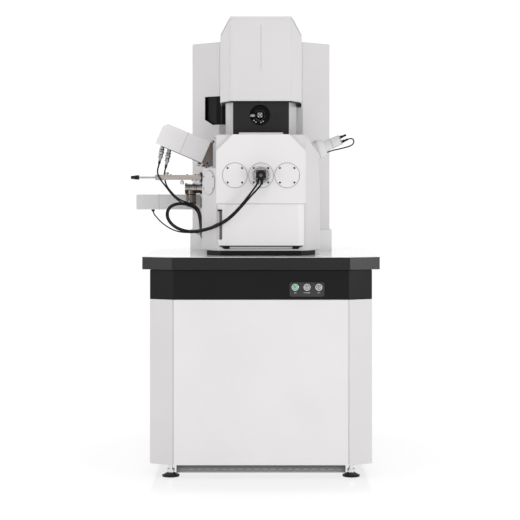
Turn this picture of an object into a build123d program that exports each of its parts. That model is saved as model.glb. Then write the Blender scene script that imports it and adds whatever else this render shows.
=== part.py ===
"""Floor-standing scanning electron microscope on a plinth cabinet, in millimetres.

+X is to the right of the operator, +Y to the back and +Z up, so that the front faces -Y.
Each piece is drawn about the middle plane of the cabinet and then moved aside, so that the
origin lies on the floor under the middle of the whole instrument, with its probe.
"""

import os
from math import atan2, cos, pi, radians, sin, tan

from build123d import *

os.makedirs("parts", exist_ok=True)

# Worktop and cabinet
worktop_width = 857.0
worktop_depth = 980.0
worktop_top = 800.0
worktop_thickness = 46.0
worktop_front_half = 319.0
worktop_facet_depth = 45.0
cabinet_width = 805.0
cabinet_depth = 924.0
cabinet_front_half = 316.5
cabinet_facet_depth = 42.0
cabinet_base = 50.0
shadow_gap = 4.0
fascia_height = 104.0
panel_seam = 1.0
sheet = 2.0
panel_fold = 18.0
frame_tube = 40.0
frame_rail = 60.0
frame_floor = 3.0
pan_side_inset = 93.5
pan_end_inset = 82.0
pan_bottom = 8.0
pan_slot_length = 20.0
pan_slot_height = 7.0
pan_slot_pitch = 30.0
pan_slot_z = 18.6
pan_slot_count = 20

# Levelling feet
foot_side_inset = 74.5
foot_end_inset = 60.0
foot_pad_radius = 31.5
foot_pad_edge = 6.0
foot_pad_height = 15.5
foot_neck_radius = 12.0
foot_stem_radius = 8.0
foot_stem_top = 86.0
foot_nut_flats = 24.0
foot_nut_height = 13.0
thread_clearance = 0.05

# Control plate and its push buttons
control_x = 165.3
control_z = 682.3
control_width = 125.0
control_height = 51.5
control_corner = 8.0
control_thickness = 3.0
button_pitch = 42.5
button_rise = 8.4
bezel_radius = 12.5
bezel_height = 4.0
button_radius = 8.5
button_head = 5.0
button_length = 22.0
button_clearance = 0.3

# Chamber and its cover
base_plate_height = 20.0
base_plate_half = 202.0
base_plate_front_half = 148.0
base_plate_facet_depth = 90.0
chamber_half = 178.0
chamber_front_half = 156.0
chamber_front = -350.0
chamber_facet_depth = 38.0
chamber_back = 10.0
chamber_height = 420.0
cavity_half = 135.0
cavity_floor = 30.0
cavity_roof = 40.0
cavity_back_wall = 32.0
cavity_corner = 25.0
beam_y = -150.0
cover_half = 220.0
cover_front_half = 164.0
cover_front = -368.5
cover_facet_depth = 95.0
cover_wall = 4.0
cover_shoulder_half = 212.0
cover_shoulder_drop = 68.0
cover_skirt = 2.0
cover_back = 22.0

# Door of the chamber and what it carries
door_gap = 0.3
stage_gap = 0.3
door_half = 150.0
door_thickness = 18.7
door_low = 838.0
door_high = 1226.0
door_corner = 12.0
door_corner_cut = 46.0
door_reveal = 2.0
front_plate_half = 164.0
front_plate_low = 990.0
front_plate_thickness = 11.0
front_plate_cut = 60.0
port_z = 1094.0
port_pitch = 95.5
port_radius = 45.0
port_bore = 30.0
port_proud = 2.0
port_ring_gap = 1.2
lower_cover_half = 160.0
lower_cover_front_half = 135.5
lower_cover_low = 837.0
lower_cover_depth = 9.0
grip_x = -150.5
grip_half = 8.5
grip_low = 859.0
grip_high = 969.0
grip_depth = 12.0
camera_ring_radius = 30.0
camera_body = 36.0
camera_length = 50.0
camera_ring_length = 14.0
camera_barrel = 12.0
camera_barrel_length = 44.0

# Column and its covers
column_radius = 75.0
column_head_room = 86.0
gun_radius = 60.0
lens_radius = 69.9
lens_tip_radius = 18.0
lens_tip_z = 1120.0
mid_half = 133.0
mid_front_half = 104.0
mid_front = -290.0
mid_facet_depth = 70.0
mid_top = 1371.0
mid_wall = 3.0
aperture_x = -4.0
aperture_z = 1319.0
aperture_window = 38.6
column_half = 154.0
column_front_half = 115.0
column_front = -300.0
column_facet_depth = 100.0
column_height = 1686.0
column_slope_drop = 57.0
column_bevel = 11.0
column_wall = 3.0
groove_width = 2.0
groove_length = 165.0
groove_drop = 37.0

# Rear housing
rear_half = 274.0
rear_front_half = 165.0
rear_front = 23.0
rear_facet_depth = 93.0
rear_back = 490.0
rear_top = 1624.0
rear_wall = 3.0
rear_base_height = 84.0
rear_base_margin = 9.0
rear_base_wall = 4.0
rear_deck = 6.0
port_left = -222.0
port_corner = -190.0
port_right = -136.0
port_low = 1299.0
port_side_low = 1320.0
port_high = 1411.0
bulkhead_y = 150.0
bulkhead_low = 1260.0
bulkhead_high = 1450.0

# Cables and the glands that they run into at the back
camera_cable_diameter = 7.0
eds_cable_diameter = 6.0
thin_cable_diameter = 5.0
gland_radius = 7.5
gland_x = -233.0
arm_gland_x = -250.0
gland_pitch = 16.0
base_gland_y = 45.0
base_gland_z = 856.0
housing_gland_y = 60.0
housing_gland_z = 905.0

# Detectors, both in the plane of the beam
eds_tilt = 23.2
eds_aim_z = 1094.0
eds_start = 225.0
eds_length = 191.0
eds_height = 86.0
eds_width = 92.0
eds_tube_radius = 16.0
rod_radius = 5.0
rod_length = 90.0
rod_pitch_across = 60.0
rod_pitch_along = 48.0
rod_clearance = 0.1
se_tilt = 22.5
se_aim_z = 1107.0
se_port_radius = 20.0
se_body_radius = 35.0
slide_clearance = 0.3

# Retractable probe, of which the grip stands out furthest to the left
probe_reach = 496.0
cone_length = 32.0
cone_radius = 9.0
probe_gap = 62.0

# Lower edges and planes worked out from the sizes above
worktop_low = worktop_top - worktop_thickness
fascia_top = worktop_low - shadow_gap
panel_top = fascia_top - fascia_height - panel_seam
cabinet_half = cabinet_width / 2
cabinet_front = -cabinet_depth / 2
foot_x = cabinet_half - foot_side_inset
foot_y = cabinet_depth / 2 - foot_end_inset
pan_half_width = cabinet_half - pan_side_inset
pan_half_depth = cabinet_depth / 2 - pan_end_inset
frame_half = cabinet_half - sheet
frame_front = cabinet_front + panel_fold
chamber_low = worktop_top + base_plate_height
chamber_top = chamber_low + chamber_height
cavity_low = chamber_low + cavity_floor
cavity_high = chamber_top - cavity_roof
cavity_back = chamber_back - cavity_back_wall
cover_low = chamber_low - cover_skirt
cover_top = chamber_top + cover_wall
door_back = chamber_front - door_gap
door_front = door_back - door_thickness
front_plate_front = door_front - front_plate_thickness
column_top = column_height - column_head_room
groove_high = column_height - groove_drop
groove_low = groove_high - groove_length
probe_rod_left = cone_length - probe_reach
frame_shift = (probe_reach - worktop_width / 2) / 2


def across_y(y):
    """Plane that faces the front, at a distance y."""
    return Plane.XZ.offset(-y)


def across_x(x):
    """Plane that faces the right, at a distance x."""
    return Plane.YZ.offset(x)


def across_z(z):
    """Level plane at a height z."""
    return Plane.XY.offset(z)


def block(low, high, mode=Mode.ADD):
    """Box between two opposite corners."""
    middle = [(a + b) / 2 for a, b in zip(low, high)]
    with Locations(tuple(middle)):
        Box(high[0] - low[0], high[1] - low[1], high[2] - low[2], mode=mode)


def save(builder, name):
    """Name a finished piece, move it into the object's frame and write it."""
    piece = builder.part.moved(Location((frame_shift, 0, 0)))
    piece.label = name
    export_step(piece, f"parts/{name}.step")


def eight_sided_plan(half, depth, front_half, facet_depth):
    """Plan outline with four slanted corners."""
    with BuildSketch() as plan:
        with BuildLine():
            Polyline(
                (-front_half, -depth / 2),
                (front_half, -depth / 2),
                (half, -depth / 2 + facet_depth),
                (half, depth / 2 - facet_depth),
                (front_half, depth / 2),
                (-front_half, depth / 2),
                (-half, depth / 2 - facet_depth),
                (-half, -depth / 2 + facet_depth),
                close=True,
            )
        make_face()
    return plan.sketch


def faceted_plan(half, front_half, front, facet_depth, back):
    """Plan outline with slanted corners at the front only."""
    with BuildSketch() as plan:
        with BuildLine():
            Polyline(
                (-front_half, front),
                (front_half, front),
                (half, front + facet_depth),
                (half, back),
                (-half, back),
                (-half, front + facet_depth),
                close=True,
            )
        make_face()
    return plan.sketch


def shouldered_elevation(half, shoulder_half, top_half, low, high, shoulder_drop):
    """Front outline with sloping shoulders."""
    with BuildSketch() as elevation:
        with BuildLine():
            Polyline(
                (-half, low),
                (half, low),
                (half, (low + high) / 2),
                (shoulder_half, high - shoulder_drop),
                (top_half, high),
                (-top_half, high),
                (-shoulder_half, high - shoulder_drop),
                (-half, (low + high) / 2),
                close=True,
            )
        make_face()
    return elevation.sketch


def inset_outline(outline, inset):
    """The same outline, smaller by an even margin."""
    return offset(outline, amount=-inset, kind=Kind.INTERSECTION)


def prism(plan, low, high):
    """Solid that stands on a plan outline."""
    with BuildPart() as form:
        with BuildSketch(across_z(low)):
            add(plan)
        extrude(amount=high - low)
    return form.part


def housing_form(plan, elevation, low, high):
    """Solid that fills both its plan outline and its front outline."""
    with BuildPart() as form:
        add(prism(plan, low, high))
        with BuildSketch(Plane.XZ):
            add(elevation)
        extrude(amount=worktop_depth, both=True, mode=Mode.INTERSECT)
    return form.part


# Cabinet frame: two rings, four posts and a floor sheet
def frame_plan(margin):
    return eight_sided_plan(
        frame_half - margin,
        -2 * (frame_front + margin),
        cabinet_front_half + panel_fold - margin,
        cabinet_facet_depth - panel_fold / 2,
    )


frame_top_low = worktop_low - frame_tube
frame_base_high = cabinet_base + frame_tube
with BuildPart() as cabinet_frame:
    for ring_low in (cabinet_base, frame_top_low):
        with BuildSketch(across_z(ring_low)):
            add(frame_plan(0))
            add(frame_plan(frame_rail), mode=Mode.SUBTRACT)
        extrude(amount=frame_tube)
    with BuildSketch(across_z(cabinet_base)):
        add(frame_plan(frame_rail / 2))
    extrude(amount=frame_floor)
    post_x = frame_half - frame_tube / 2
    post_y = foot_y - frame_tube / 2
    with BuildSketch(across_z(frame_base_high)):
        with GridLocations(2 * post_x, 2 * post_y, 2, 2):
            Rectangle(frame_tube, frame_tube)
    extrude(amount=frame_top_low - frame_base_high)
    with BuildSketch(across_z(cabinet_base)):
        with GridLocations(2 * foot_x, 2 * foot_y, 2, 2):
            Circle(foot_stem_radius + thread_clearance)
    extrude(amount=frame_tube, mode=Mode.SUBTRACT)
save(cabinet_frame, "cabinet_frame")

# Folded sheet panels round the frame
panel_half = cabinet_front_half - panel_seam
panel_middle_z = (cabinet_base + panel_top) / 2
with BuildPart() as front_panel:
    block((-panel_half, cabinet_front, cabinet_base), (panel_half, frame_front, panel_top))
    offset(amount=-sheet, openings=front_panel.faces().sort_by(Axis.Y)[-1])
save(front_panel, "front_panel")

cabinet_plan = eight_sided_plan(cabinet_half, cabinet_depth, cabinet_front_half, cabinet_facet_depth)
cabinet_inner_plan = inset_outline(cabinet_plan, sheet)
with BuildPart() as side_panels:
    with BuildSketch(across_z(cabinet_base)):
        add(cabinet_plan)
        add(cabinet_inner_plan, mode=Mode.SUBTRACT)
        Rectangle(2 * cabinet_front_half, cabinet_depth, mode=Mode.SUBTRACT)
    extrude(amount=panel_top - cabinet_base)
save(side_panels, "side_panels")

vent_length = 90.0
vent_height = 5.0
vent_pitch = 14.0
vent_rows = 8
inlet_x = -230.0
inlet_z = 130.0
inlet_width = 58.0
inlet_height = 48.0
with BuildPart() as rear_panel:
    block((-panel_half, -frame_front, cabinet_base), (panel_half, -cabinet_front, panel_top))
    offset(amount=-sheet, openings=rear_panel.faces().sort_by(Axis.Y)[0])
    with BuildSketch(across_y(-cabinet_front)):
        with Locations((0, panel_middle_z)):
            with GridLocations(2.2 * vent_length, vent_pitch, 3, vent_rows):
                SlotOverall(vent_length, vent_height)
        with Locations((inlet_x, inlet_z)):
            Rectangle(inlet_width, inlet_height)
    extrude(amount=sheet, mode=Mode.SUBTRACT)
save(rear_panel, "rear_panel")

inlet_flange = 6.0
inlet_depth = 30.0
inlet_pin_gap = 14.0
with BuildPart() as mains_inlet:
    with BuildSketch(across_y(-cabinet_front + sheet)):
        with Locations((inlet_x, inlet_z)):
            RectangleRounded(inlet_width + 2 * inlet_flange, inlet_height + 2 * inlet_flange, inlet_flange)
    extrude(amount=sheet)
    block(
        (inlet_x - inlet_width / 2 + thread_clearance, -cabinet_front - inlet_depth,
         inlet_z - inlet_height / 2 + thread_clearance),
        (inlet_x + inlet_width / 2 - thread_clearance, -cabinet_front,
         inlet_z + inlet_height / 2 - thread_clearance),
    )
    with BuildSketch(across_y(-cabinet_front + sheet)):
        with Locations((inlet_x, inlet_z)):
            RectangleRounded(inlet_width - 4 * inlet_flange, inlet_height - 4 * inlet_flange, sheet)
    extrude(amount=inlet_depth - 2 * inlet_flange, mode=Mode.SUBTRACT)
    with BuildSketch(across_y(-cabinet_front - inlet_depth + inlet_flange)):
        with Locations((inlet_x, inlet_z)):
            with PolarLocations(inlet_pin_gap / 2, 3, start_angle=90):
                Rectangle(sheet, 2 * sheet)
    extrude(amount=-inlet_depth / 2)
save(mains_inlet, "mains_inlet")

# Charcoal band under the worktop, with the holes of the three buttons
button_z = control_z + button_rise
button_hole = button_radius + button_clearance
fascia_low = fascia_top - fascia_height
with BuildPart() as fascia_band:
    with BuildSketch(across_z(fascia_low)):
        add(cabinet_plan)
        add(cabinet_inner_plan, mode=Mode.SUBTRACT)
    extrude(amount=fascia_height)
    with BuildSketch(across_y(cabinet_front)):
        with Locations((control_x, button_z)):
            with GridLocations(button_pitch, 0, 3, 1):
                Circle(button_hole)
    extrude(amount=-2 * sheet, mode=Mode.SUBTRACT)
save(fascia_band, "fascia_band")

worktop_plan = eight_sided_plan(
    worktop_width / 2, worktop_depth, worktop_front_half, worktop_facet_depth
)
worktop_edge_radius = 1.5
with BuildPart() as worktop:
    add(prism(worktop_plan, worktop_low, worktop_top))
    chamfer(worktop.faces().sort_by(Axis.Z)[-1].edges(), worktop_edge_radius)
save(worktop, "worktop")

# Dark pan under the frame, slotted along its front and back
with BuildPart() as base_pan:
    block((-pan_half_width, -pan_half_depth, pan_bottom), (pan_half_width, pan_half_depth, cabinet_base))
    offset(amount=-sheet, openings=base_pan.faces().sort_by(Axis.Z)[-1])
    with BuildSketch(across_y(-pan_half_depth)):
        with Locations((0, pan_slot_z)):
            with GridLocations(pan_slot_pitch, 0, pan_slot_count, 1):
                Rectangle(pan_slot_length, pan_slot_height)
    extrude(amount=-2 * pan_half_depth, mode=Mode.SUBTRACT)
save(base_pan, "base_pan")


# Levelling feet, each a pad under a threaded stem with its nut
def levelling_foot(x, y):
    """Pad, nut and stem round one vertical axis."""
    with BuildPart() as foot:
        with BuildSketch(Plane.XZ):
            with BuildLine():
                Polyline(
                    (0, 0),
                    (foot_pad_radius, 0),
                    (foot_pad_radius, foot_pad_edge),
                    (foot_neck_radius, foot_pad_height),
                    (foot_stem_radius, foot_pad_height),
                    (foot_stem_radius, foot_stem_top),
                    (0, foot_stem_top),
                    close=True,
                )
            make_face()
        revolve(axis=Axis.Z)
        with BuildSketch(across_z(foot_pad_height)):
            RegularPolygon(foot_nut_flats / 2, 6, major_radius=False)
        extrude(amount=foot_nut_height)
    return foot.part.moved(Location((x, y, 0)))


foot_places = {
    "front_left": (-foot_x, -foot_y),
    "front_right": (foot_x, -foot_y),
    "rear_left": (-foot_x, foot_y),
    "rear_right": (foot_x, foot_y),
}
for foot_name, (place_x, place_y) in foot_places.items():
    with BuildPart() as foot_piece:
        add(levelling_foot(place_x, place_y))
    save(foot_piece, f"levelling_foot_{foot_name}")

# Control plate with three raised rings
with BuildPart() as control_plate:
    with BuildSketch(across_y(cabinet_front)):
        with Locations((control_x, control_z)):
            RectangleRounded(control_width, control_height, control_corner)
    extrude(amount=control_thickness)
    with BuildSketch(across_y(cabinet_front - control_thickness)):
        with Locations((control_x, button_z)):
            with GridLocations(button_pitch, 0, 3, 1):
                Circle(bezel_radius)
    extrude(amount=bezel_height)
    with BuildSketch(across_y(cabinet_front)):
        with Locations((control_x, button_z)):
            with GridLocations(button_pitch, 0, 3, 1):
                Circle(button_hole)
    extrude(amount=2 * (control_thickness + bezel_height), mode=Mode.SUBTRACT)
save(control_plate, "control_plate")

# Three domed push buttons that travel into the band
button_front = cabinet_front - control_thickness - bezel_height
dome_radius = (button_radius**2 + button_head**2) / (2 * button_head)
dome_centre = dome_radius - button_head
dome_angle = atan2(button_radius, dome_centre) / 2
for index, button_name in enumerate(("on_button", "standby_button", "off_button")):
    button_x = control_x + (index - 1) * button_pitch
    with BuildPart() as button:
        with BuildSketch(Plane.XY):
            with BuildLine():
                Polyline(
                    (0, -button_head),
                    (0, button_length),
                    (button_radius, button_length),
                    (button_radius, 0),
                )
                ThreePointArc(
                    (button_radius, 0),
                    (dome_radius * sin(dome_angle), dome_centre - dome_radius * cos(dome_angle)),
                    (0, -button_head),
                )
            make_face()
        revolve(axis=Axis.Y)
    with BuildPart() as placed_button:
        add(button.part.moved(Location((button_x, button_front, button_z))))
    save(placed_button, button_name)

# Black plate that carries the chamber, with two stops under the door
stop_x = 128.0
stop_width = 26.0
stop_height = 13.0
stop_depth = 11.0
base_plate_front = cover_front + cover_wall + door_gap
with BuildPart() as chamber_base_plate:
    plate_plan = faceted_plan(
        base_plate_half, base_plate_front_half, base_plate_front, base_plate_facet_depth, cover_back
    )
    add(prism(plate_plan, worktop_top, chamber_low))
    for side in (-1, 1):
        block(
            (side * stop_x - stop_width / 2, base_plate_front, chamber_low),
            (side * stop_x + stop_width / 2, base_plate_front + stop_depth, chamber_low + stop_height),
        )
save(chamber_base_plate, "chamber_base_plate")


# Tilted axes of the two detectors, each pointing out of the chamber
eds_plane = Plane(
    origin=(0, beam_y, eds_aim_z),
    x_dir=(0, 1, 0),
    z_dir=(-cos(radians(eds_tilt)), 0, sin(radians(eds_tilt))),
)
se_plane = Plane(
    origin=(0, beam_y, se_aim_z),
    x_dir=(0, 1, 0),
    z_dir=(cos(radians(se_tilt)), 0, sin(radians(se_tilt))),
)
eds_bore = eds_tube_radius + slide_clearance
bsd_z = 1089.0
bsd_bore = 12.0
gauge_y = -120.0
gauge_z = 1047.0
gauge_bore = 18.0
arm_y = -50.0
arm_z = 995.0
arm_height = 58.0
arm_depth = 60.0
arm_spigot = 22.0
turbo_z = 1010.0
turbo_bore = 60.0

# Vacuum chamber: one machined block with its cavity and ports
chamber_plan = faceted_plan(chamber_half, chamber_front_half, chamber_front, chamber_facet_depth, chamber_back)
chamber_top_cut = 28.0
with BuildPart() as vacuum_chamber:
    add(prism(chamber_plan, chamber_low, chamber_top))
    chamfer(vacuum_chamber.faces().sort_by(Axis.Z)[-1].edges().filter_by(Axis.Y), chamber_top_cut)
    block(
        (-cavity_half, chamber_front, cavity_low),
        (cavity_half, cavity_back, cavity_high),
        mode=Mode.SUBTRACT,
    )
    roof_edges = vacuum_chamber.edges().filter_by(Axis.Y).filter_by_position(
        Axis.Z, cavity_high - stage_gap, cavity_high + stage_gap
    )
    fillet(roof_edges, cavity_corner)
    with BuildSketch(across_z(cavity_high)):
        with Locations((0, beam_y)):
            Circle(lens_radius + thread_clearance)
    extrude(amount=cavity_roof, mode=Mode.SUBTRACT)
    with BuildSketch(eds_plane.offset(cavity_half)):
        Circle(eds_bore)
    extrude(amount=eds_start - cavity_half, mode=Mode.SUBTRACT)
    with BuildSketch(se_plane.offset(cavity_half)):
        Circle(se_port_radius + thread_clearance)
    extrude(amount=eds_start - cavity_half, mode=Mode.SUBTRACT)
    with BuildSketch(across_x(-cavity_half)):
        with Locations((beam_y, bsd_z)):
            Circle(bsd_bore + thread_clearance)
        with Locations((gauge_y, gauge_z)):
            Circle(gauge_bore + thread_clearance)
        with Locations((arm_y, arm_z)):
            Circle(arm_spigot + thread_clearance)
    extrude(amount=-chamber_half, mode=Mode.SUBTRACT)
    with BuildSketch(across_y(chamber_back)):
        with Locations((0, turbo_z)):
            Circle(turbo_bore)
    extrude(amount=cavity_back_wall, mode=Mode.SUBTRACT)
save(vacuum_chamber, "vacuum_chamber")

# White cover round the chamber
cover_plan = faceted_plan(cover_half, cover_front_half, cover_front, cover_facet_depth, cover_back)
cover_elevation = shouldered_elevation(
    cover_half, cover_shoulder_half, cover_front_half, cover_low, cover_top, cover_shoulder_drop
)
cover_inner_plan = faceted_plan(
    cover_half - cover_wall,
    cover_front_half - cover_wall / 2,
    cover_front + cover_wall,
    cover_facet_depth,
    cover_back + cover_wall,
)
cover_inner_elevation = shouldered_elevation(
    cover_half - cover_wall,
    cover_shoulder_half - cover_wall,
    cover_front_half - cover_wall / 2,
    cover_low - cover_wall,
    cover_top - cover_wall,
    cover_shoulder_drop,
)
cover_lip_half = 81.0
cover_lip_height = 7.0
cover_lip_depth = 10.0
cover_edge_round = 18.0
shoulder_round = 5.0
opening_half = door_half + door_reveal
opening_low = cover_low + 3 * door_reveal
opening_high = door_high + door_reveal
column_hole_margin = 20.0
port_margin = 2.0
notch_low = 1122.0
notch_high = 1234.0
notch_inner = -166.0
notch_front = -372.0
notch_back = -96.0
with BuildPart() as chamber_cover:
    add(housing_form(cover_plan, cover_elevation, cover_low, cover_top))
    fillet(
        chamber_cover.edges().filter_by(Axis.Z).group_by(Axis.Y)[1],
        cover_edge_round,
    )
    add(
        housing_form(cover_inner_plan, cover_inner_elevation, cover_low - cover_wall, cover_top - cover_wall),
        mode=Mode.SUBTRACT,
    )
    block(
        (-cover_lip_half, cover_front, cover_top - cover_wall),
        (cover_lip_half, cover_front + cover_lip_depth, cover_top + cover_lip_height),
    )
    with BuildSketch(across_y(cover_front)):
        with BuildLine():
            Polyline(
                (-opening_half, opening_high - door_corner_cut),
                (door_corner_cut - opening_half, opening_high),
                (opening_half - door_corner_cut, opening_high),
                (opening_half, opening_high - door_corner_cut),
                (opening_half, door_low - 3 * door_gap),
                (lower_cover_front_half, opening_low),
                (-lower_cover_front_half, opening_low),
                (-opening_half, door_low - 3 * door_gap),
                close=True,
            )
        make_face()
    extrude(amount=-2 * cover_wall, mode=Mode.SUBTRACT)
    with BuildSketch(across_z(cover_top - 2 * cover_wall)):
        with Locations((0, beam_y)):
            Circle(column_radius + column_hole_margin)
    extrude(amount=3 * cover_wall, mode=Mode.SUBTRACT)
    block((-cover_half - cover_wall, notch_front, notch_low), (notch_inner, notch_back, notch_high),
          mode=Mode.SUBTRACT)
    with BuildSketch(se_plane.offset(chamber_half)):
        Circle(se_body_radius + port_margin)
    extrude(amount=chamber_half / 2, mode=Mode.SUBTRACT)
    with BuildSketch(across_x(-chamber_half)):
        with Locations((beam_y, bsd_z)):
            Circle(bsd_bore + port_margin)
        with Locations((gauge_y, gauge_z)):
            Circle(gauge_bore + port_margin)
        with Locations((arm_y, arm_z)):
            Rectangle(arm_depth + 2 * port_margin, arm_height + 2 * port_margin)
    extrude(amount=-2 * cover_half, mode=Mode.SUBTRACT)
save(chamber_cover, "chamber_cover")

# Blank flange on the left cheek of the cover
cheek_blank_z = 1068.0
cheek_middle_x = -(cover_front_half + cover_half) / 2
cheek_middle_y = cover_front + cover_facet_depth / 2
cheek_normal = (-cover_facet_depth, -(cover_half - cover_front_half), 0)
cheek_plane = Plane(
    origin=(cheek_middle_x, cheek_middle_y, cheek_blank_z), x_dir=(0, 0, 1), z_dir=cheek_normal
)
cheek_blank_radius = 46.0
cheek_blank_thickness = 3.0
with BuildPart() as cheek_blank:
    with BuildSketch(cheek_plane.offset(thread_clearance)):
        Circle(cheek_blank_radius)
    extrude(amount=cheek_blank_thickness)
    chamfer(cheek_blank.edges().sort_by(Axis.X)[0], 1.0)
save(cheek_blank, "cheek_blank")

# Door: a thick flange on the chamber's face, in front of it the two white covers
with BuildPart() as door_flange:
    block((-door_half, door_front, door_low), (door_half, door_back, door_high))
    chamfer(door_flange.edges().filter_by(Axis.Y).group_by(Axis.Z)[-1], door_corner_cut)
    fillet(door_flange.edges().filter_by(Axis.Y).group_by(Axis.Z)[0], door_corner)
    with BuildSketch(across_y(door_front)):
        with Locations((-port_pitch, port_z), (0, port_z), (port_pitch, port_z)):
            Circle(port_bore)
    extrude(amount=-door_thickness, mode=Mode.SUBTRACT)
    block(
        (grip_x - grip_half, door_front, grip_low),
        (grip_x + grip_half, door_front + grip_depth, grip_high),
        mode=Mode.SUBTRACT,
    )
save(door_flange, "door_flange")

with BuildPart() as front_plate:
    with BuildSketch(across_y(door_front)):
        with BuildLine():
            Polyline(
                (-front_plate_half, front_plate_low),
                (front_plate_half, front_plate_low),
                (front_plate_half, cover_top - front_plate_cut),
                (front_plate_half - front_plate_cut, cover_top),
                (front_plate_cut - front_plate_half, cover_top),
                (-front_plate_half, cover_top - front_plate_cut),
                close=True,
            )
        make_face()
        with Locations((-port_pitch, port_z), (0, port_z), (port_pitch, port_z)):
            Circle(port_radius + port_ring_gap, mode=Mode.SUBTRACT)
    extrude(amount=front_plate_thickness)
    chamfer(front_plate.faces().sort_by(Axis.Y)[0].outer_wire().edges(), 1.0)
save(front_plate, "front_plate")


def port_flange(x, bore):
    """Round cover in the front plate, with its spigot in the door's port."""
    with BuildPart() as flange:
        with BuildSketch(across_y(door_front)):
            with Locations((x, port_z)):
                Circle(port_radius)
        extrude(amount=front_plate_thickness + port_proud)
        with BuildSketch(across_y(door_front)):
            with Locations((x, port_z)):
                Circle(port_bore - thread_clearance)
        extrude(amount=-door_thickness + door_gap)
        if bore:
            with BuildSketch(across_y(door_back)):
                with Locations((x, port_z)):
                    Circle(bore)
            extrude(amount=2 * door_thickness, mode=Mode.SUBTRACT)
    return flange.part


with BuildPart() as port_blanks:
    for side in (-1, 1):
        add(port_flange(side * port_pitch, 0))
save(port_blanks, "port_blanks")

with BuildPart() as camera_flange:
    add(port_flange(0, camera_barrel + thread_clearance))
save(camera_flange, "camera_flange")

# Camera: ring, square body and a barrel that looks into the chamber
camera_face = front_plate_front - port_proud
with BuildPart() as chamber_camera:
    with BuildSketch(across_y(camera_face)):
        with Locations((0, port_z)):
            Circle(camera_ring_radius)
    extrude(amount=camera_ring_length)
    with BuildSketch(across_y(camera_face - camera_ring_length)):
        with Locations((0, port_z)):
            RectangleRounded(camera_body, camera_body, 3)
    extrude(amount=camera_length - camera_ring_length)
    with BuildSketch(across_y(camera_face)):
        with Locations((0, port_z)):
            Circle(camera_barrel)
    extrude(amount=-camera_barrel_length)
    chamfer(chamber_camera.faces().sort_by(Axis.Y)[0].edges(), 2)
save(chamber_camera, "chamber_camera")

# Lower cover of the door, with the grip slot in its left edge
with BuildPart() as lower_door_cover:
    with BuildSketch(across_z(lower_cover_low)):
        with BuildLine():
            Polyline(
                (-lower_cover_half, door_front),
                (-lower_cover_front_half, door_front - lower_cover_depth),
                (lower_cover_front_half, door_front - lower_cover_depth),
                (lower_cover_half, door_front),
                close=True,
            )
        make_face()
    extrude(amount=front_plate_low - panel_seam - lower_cover_low)
    block(
        (grip_x - grip_half, door_front - lower_cover_depth, grip_low),
        (grip_x + grip_half, door_front, grip_high),
        mode=Mode.SUBTRACT,
    )
save(lower_door_cover, "lower_door_cover")

# Two rails on the chamber floor, on which the stage slides out with the door
rail_x = 112.0
rail_width = 14.0
rail_height = 12.0
rail_inset = 6.0
with BuildPart() as drawer_rails:
    for side in (-1, 1):
        block(
            (side * rail_x - rail_width / 2, chamber_front + rail_inset, cavity_low),
            (side * rail_x + rail_width / 2, cavity_back - rail_inset, cavity_low + rail_height),
        )
save(drawer_rails, "drawer_rails")

# Specimen stage on the door, from the base up to the turning table
base_half = 120.0
base_thickness = 12.0
stage_base_low = cavity_low + rail_height + stage_gap
stage_y_low = stage_base_low + base_thickness + stage_gap
carriage_thickness = 14.0
stage_x_low = stage_y_low + carriage_thickness + stage_gap
stage_x_high = stage_x_low + carriage_thickness
y_carriage_half = 72.0
y_carriage_reach = 60.0
x_carriage_half = 48.0
x_carriage_reach = 46.0
guide_rib = 8.0
guide_depth = 5.0
y_rib_x = 50.0
y_rib_front = 110.0
y_rib_back = 95.0
x_rib_y = 34.0
overcut = 1.0
gusset_depth = 60.0
gusset_height = 90.0
stage_base_back = beam_y + 100.0


def rib_edges(middle, margin):
    """Both sides of a guide rib, or of the groove that runs over it with a margin."""
    return middle - guide_rib / 2 - margin, middle + guide_rib / 2 + margin


with BuildPart() as stage_base:
    block(
        (-base_half, door_back, stage_base_low),
        (base_half, stage_base_back, stage_base_low + base_thickness),
    )
    gusset_x = base_half - rail_width
    for side in (-1, 1):
        with BuildSketch(across_x(side * gusset_x - rail_width / 2)):
            with BuildLine():
                Polyline(
                    (door_back, stage_base_low),
                    (door_back + gusset_depth, stage_base_low),
                    (door_back, stage_base_low + gusset_height),
                    close=True,
                )
            make_face()
        extrude(amount=rail_width)
    rib_top = stage_base_low + base_thickness + guide_depth
    for side in (-1, 1):
        left, right = rib_edges(side * y_rib_x, 0)
        block(
            (left, beam_y - y_rib_front, stage_base_low),
            (right, beam_y + y_rib_back, rib_top),
        )
save(stage_base, "stage_base")

with BuildPart() as stage_y_carriage:
    block(
        (-y_carriage_half, beam_y - y_carriage_reach, stage_y_low),
        (y_carriage_half, beam_y + y_carriage_reach, stage_y_low + carriage_thickness),
    )
    for side in (-1, 1):
        left, right = rib_edges(side * y_rib_x, stage_gap)
        block(
            (left, beam_y - y_carriage_reach - overcut, stage_y_low),
            (right, beam_y + y_carriage_reach + overcut, stage_y_low + guide_depth),
            mode=Mode.SUBTRACT,
        )
        front, back = rib_edges(beam_y + side * x_rib_y, 0)
        block(
            (-y_carriage_half, front, stage_y_low + carriage_thickness),
            (y_carriage_half, back, stage_x_low + guide_depth - stage_gap),
        )
save(stage_y_carriage, "stage_y_carriage")

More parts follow.
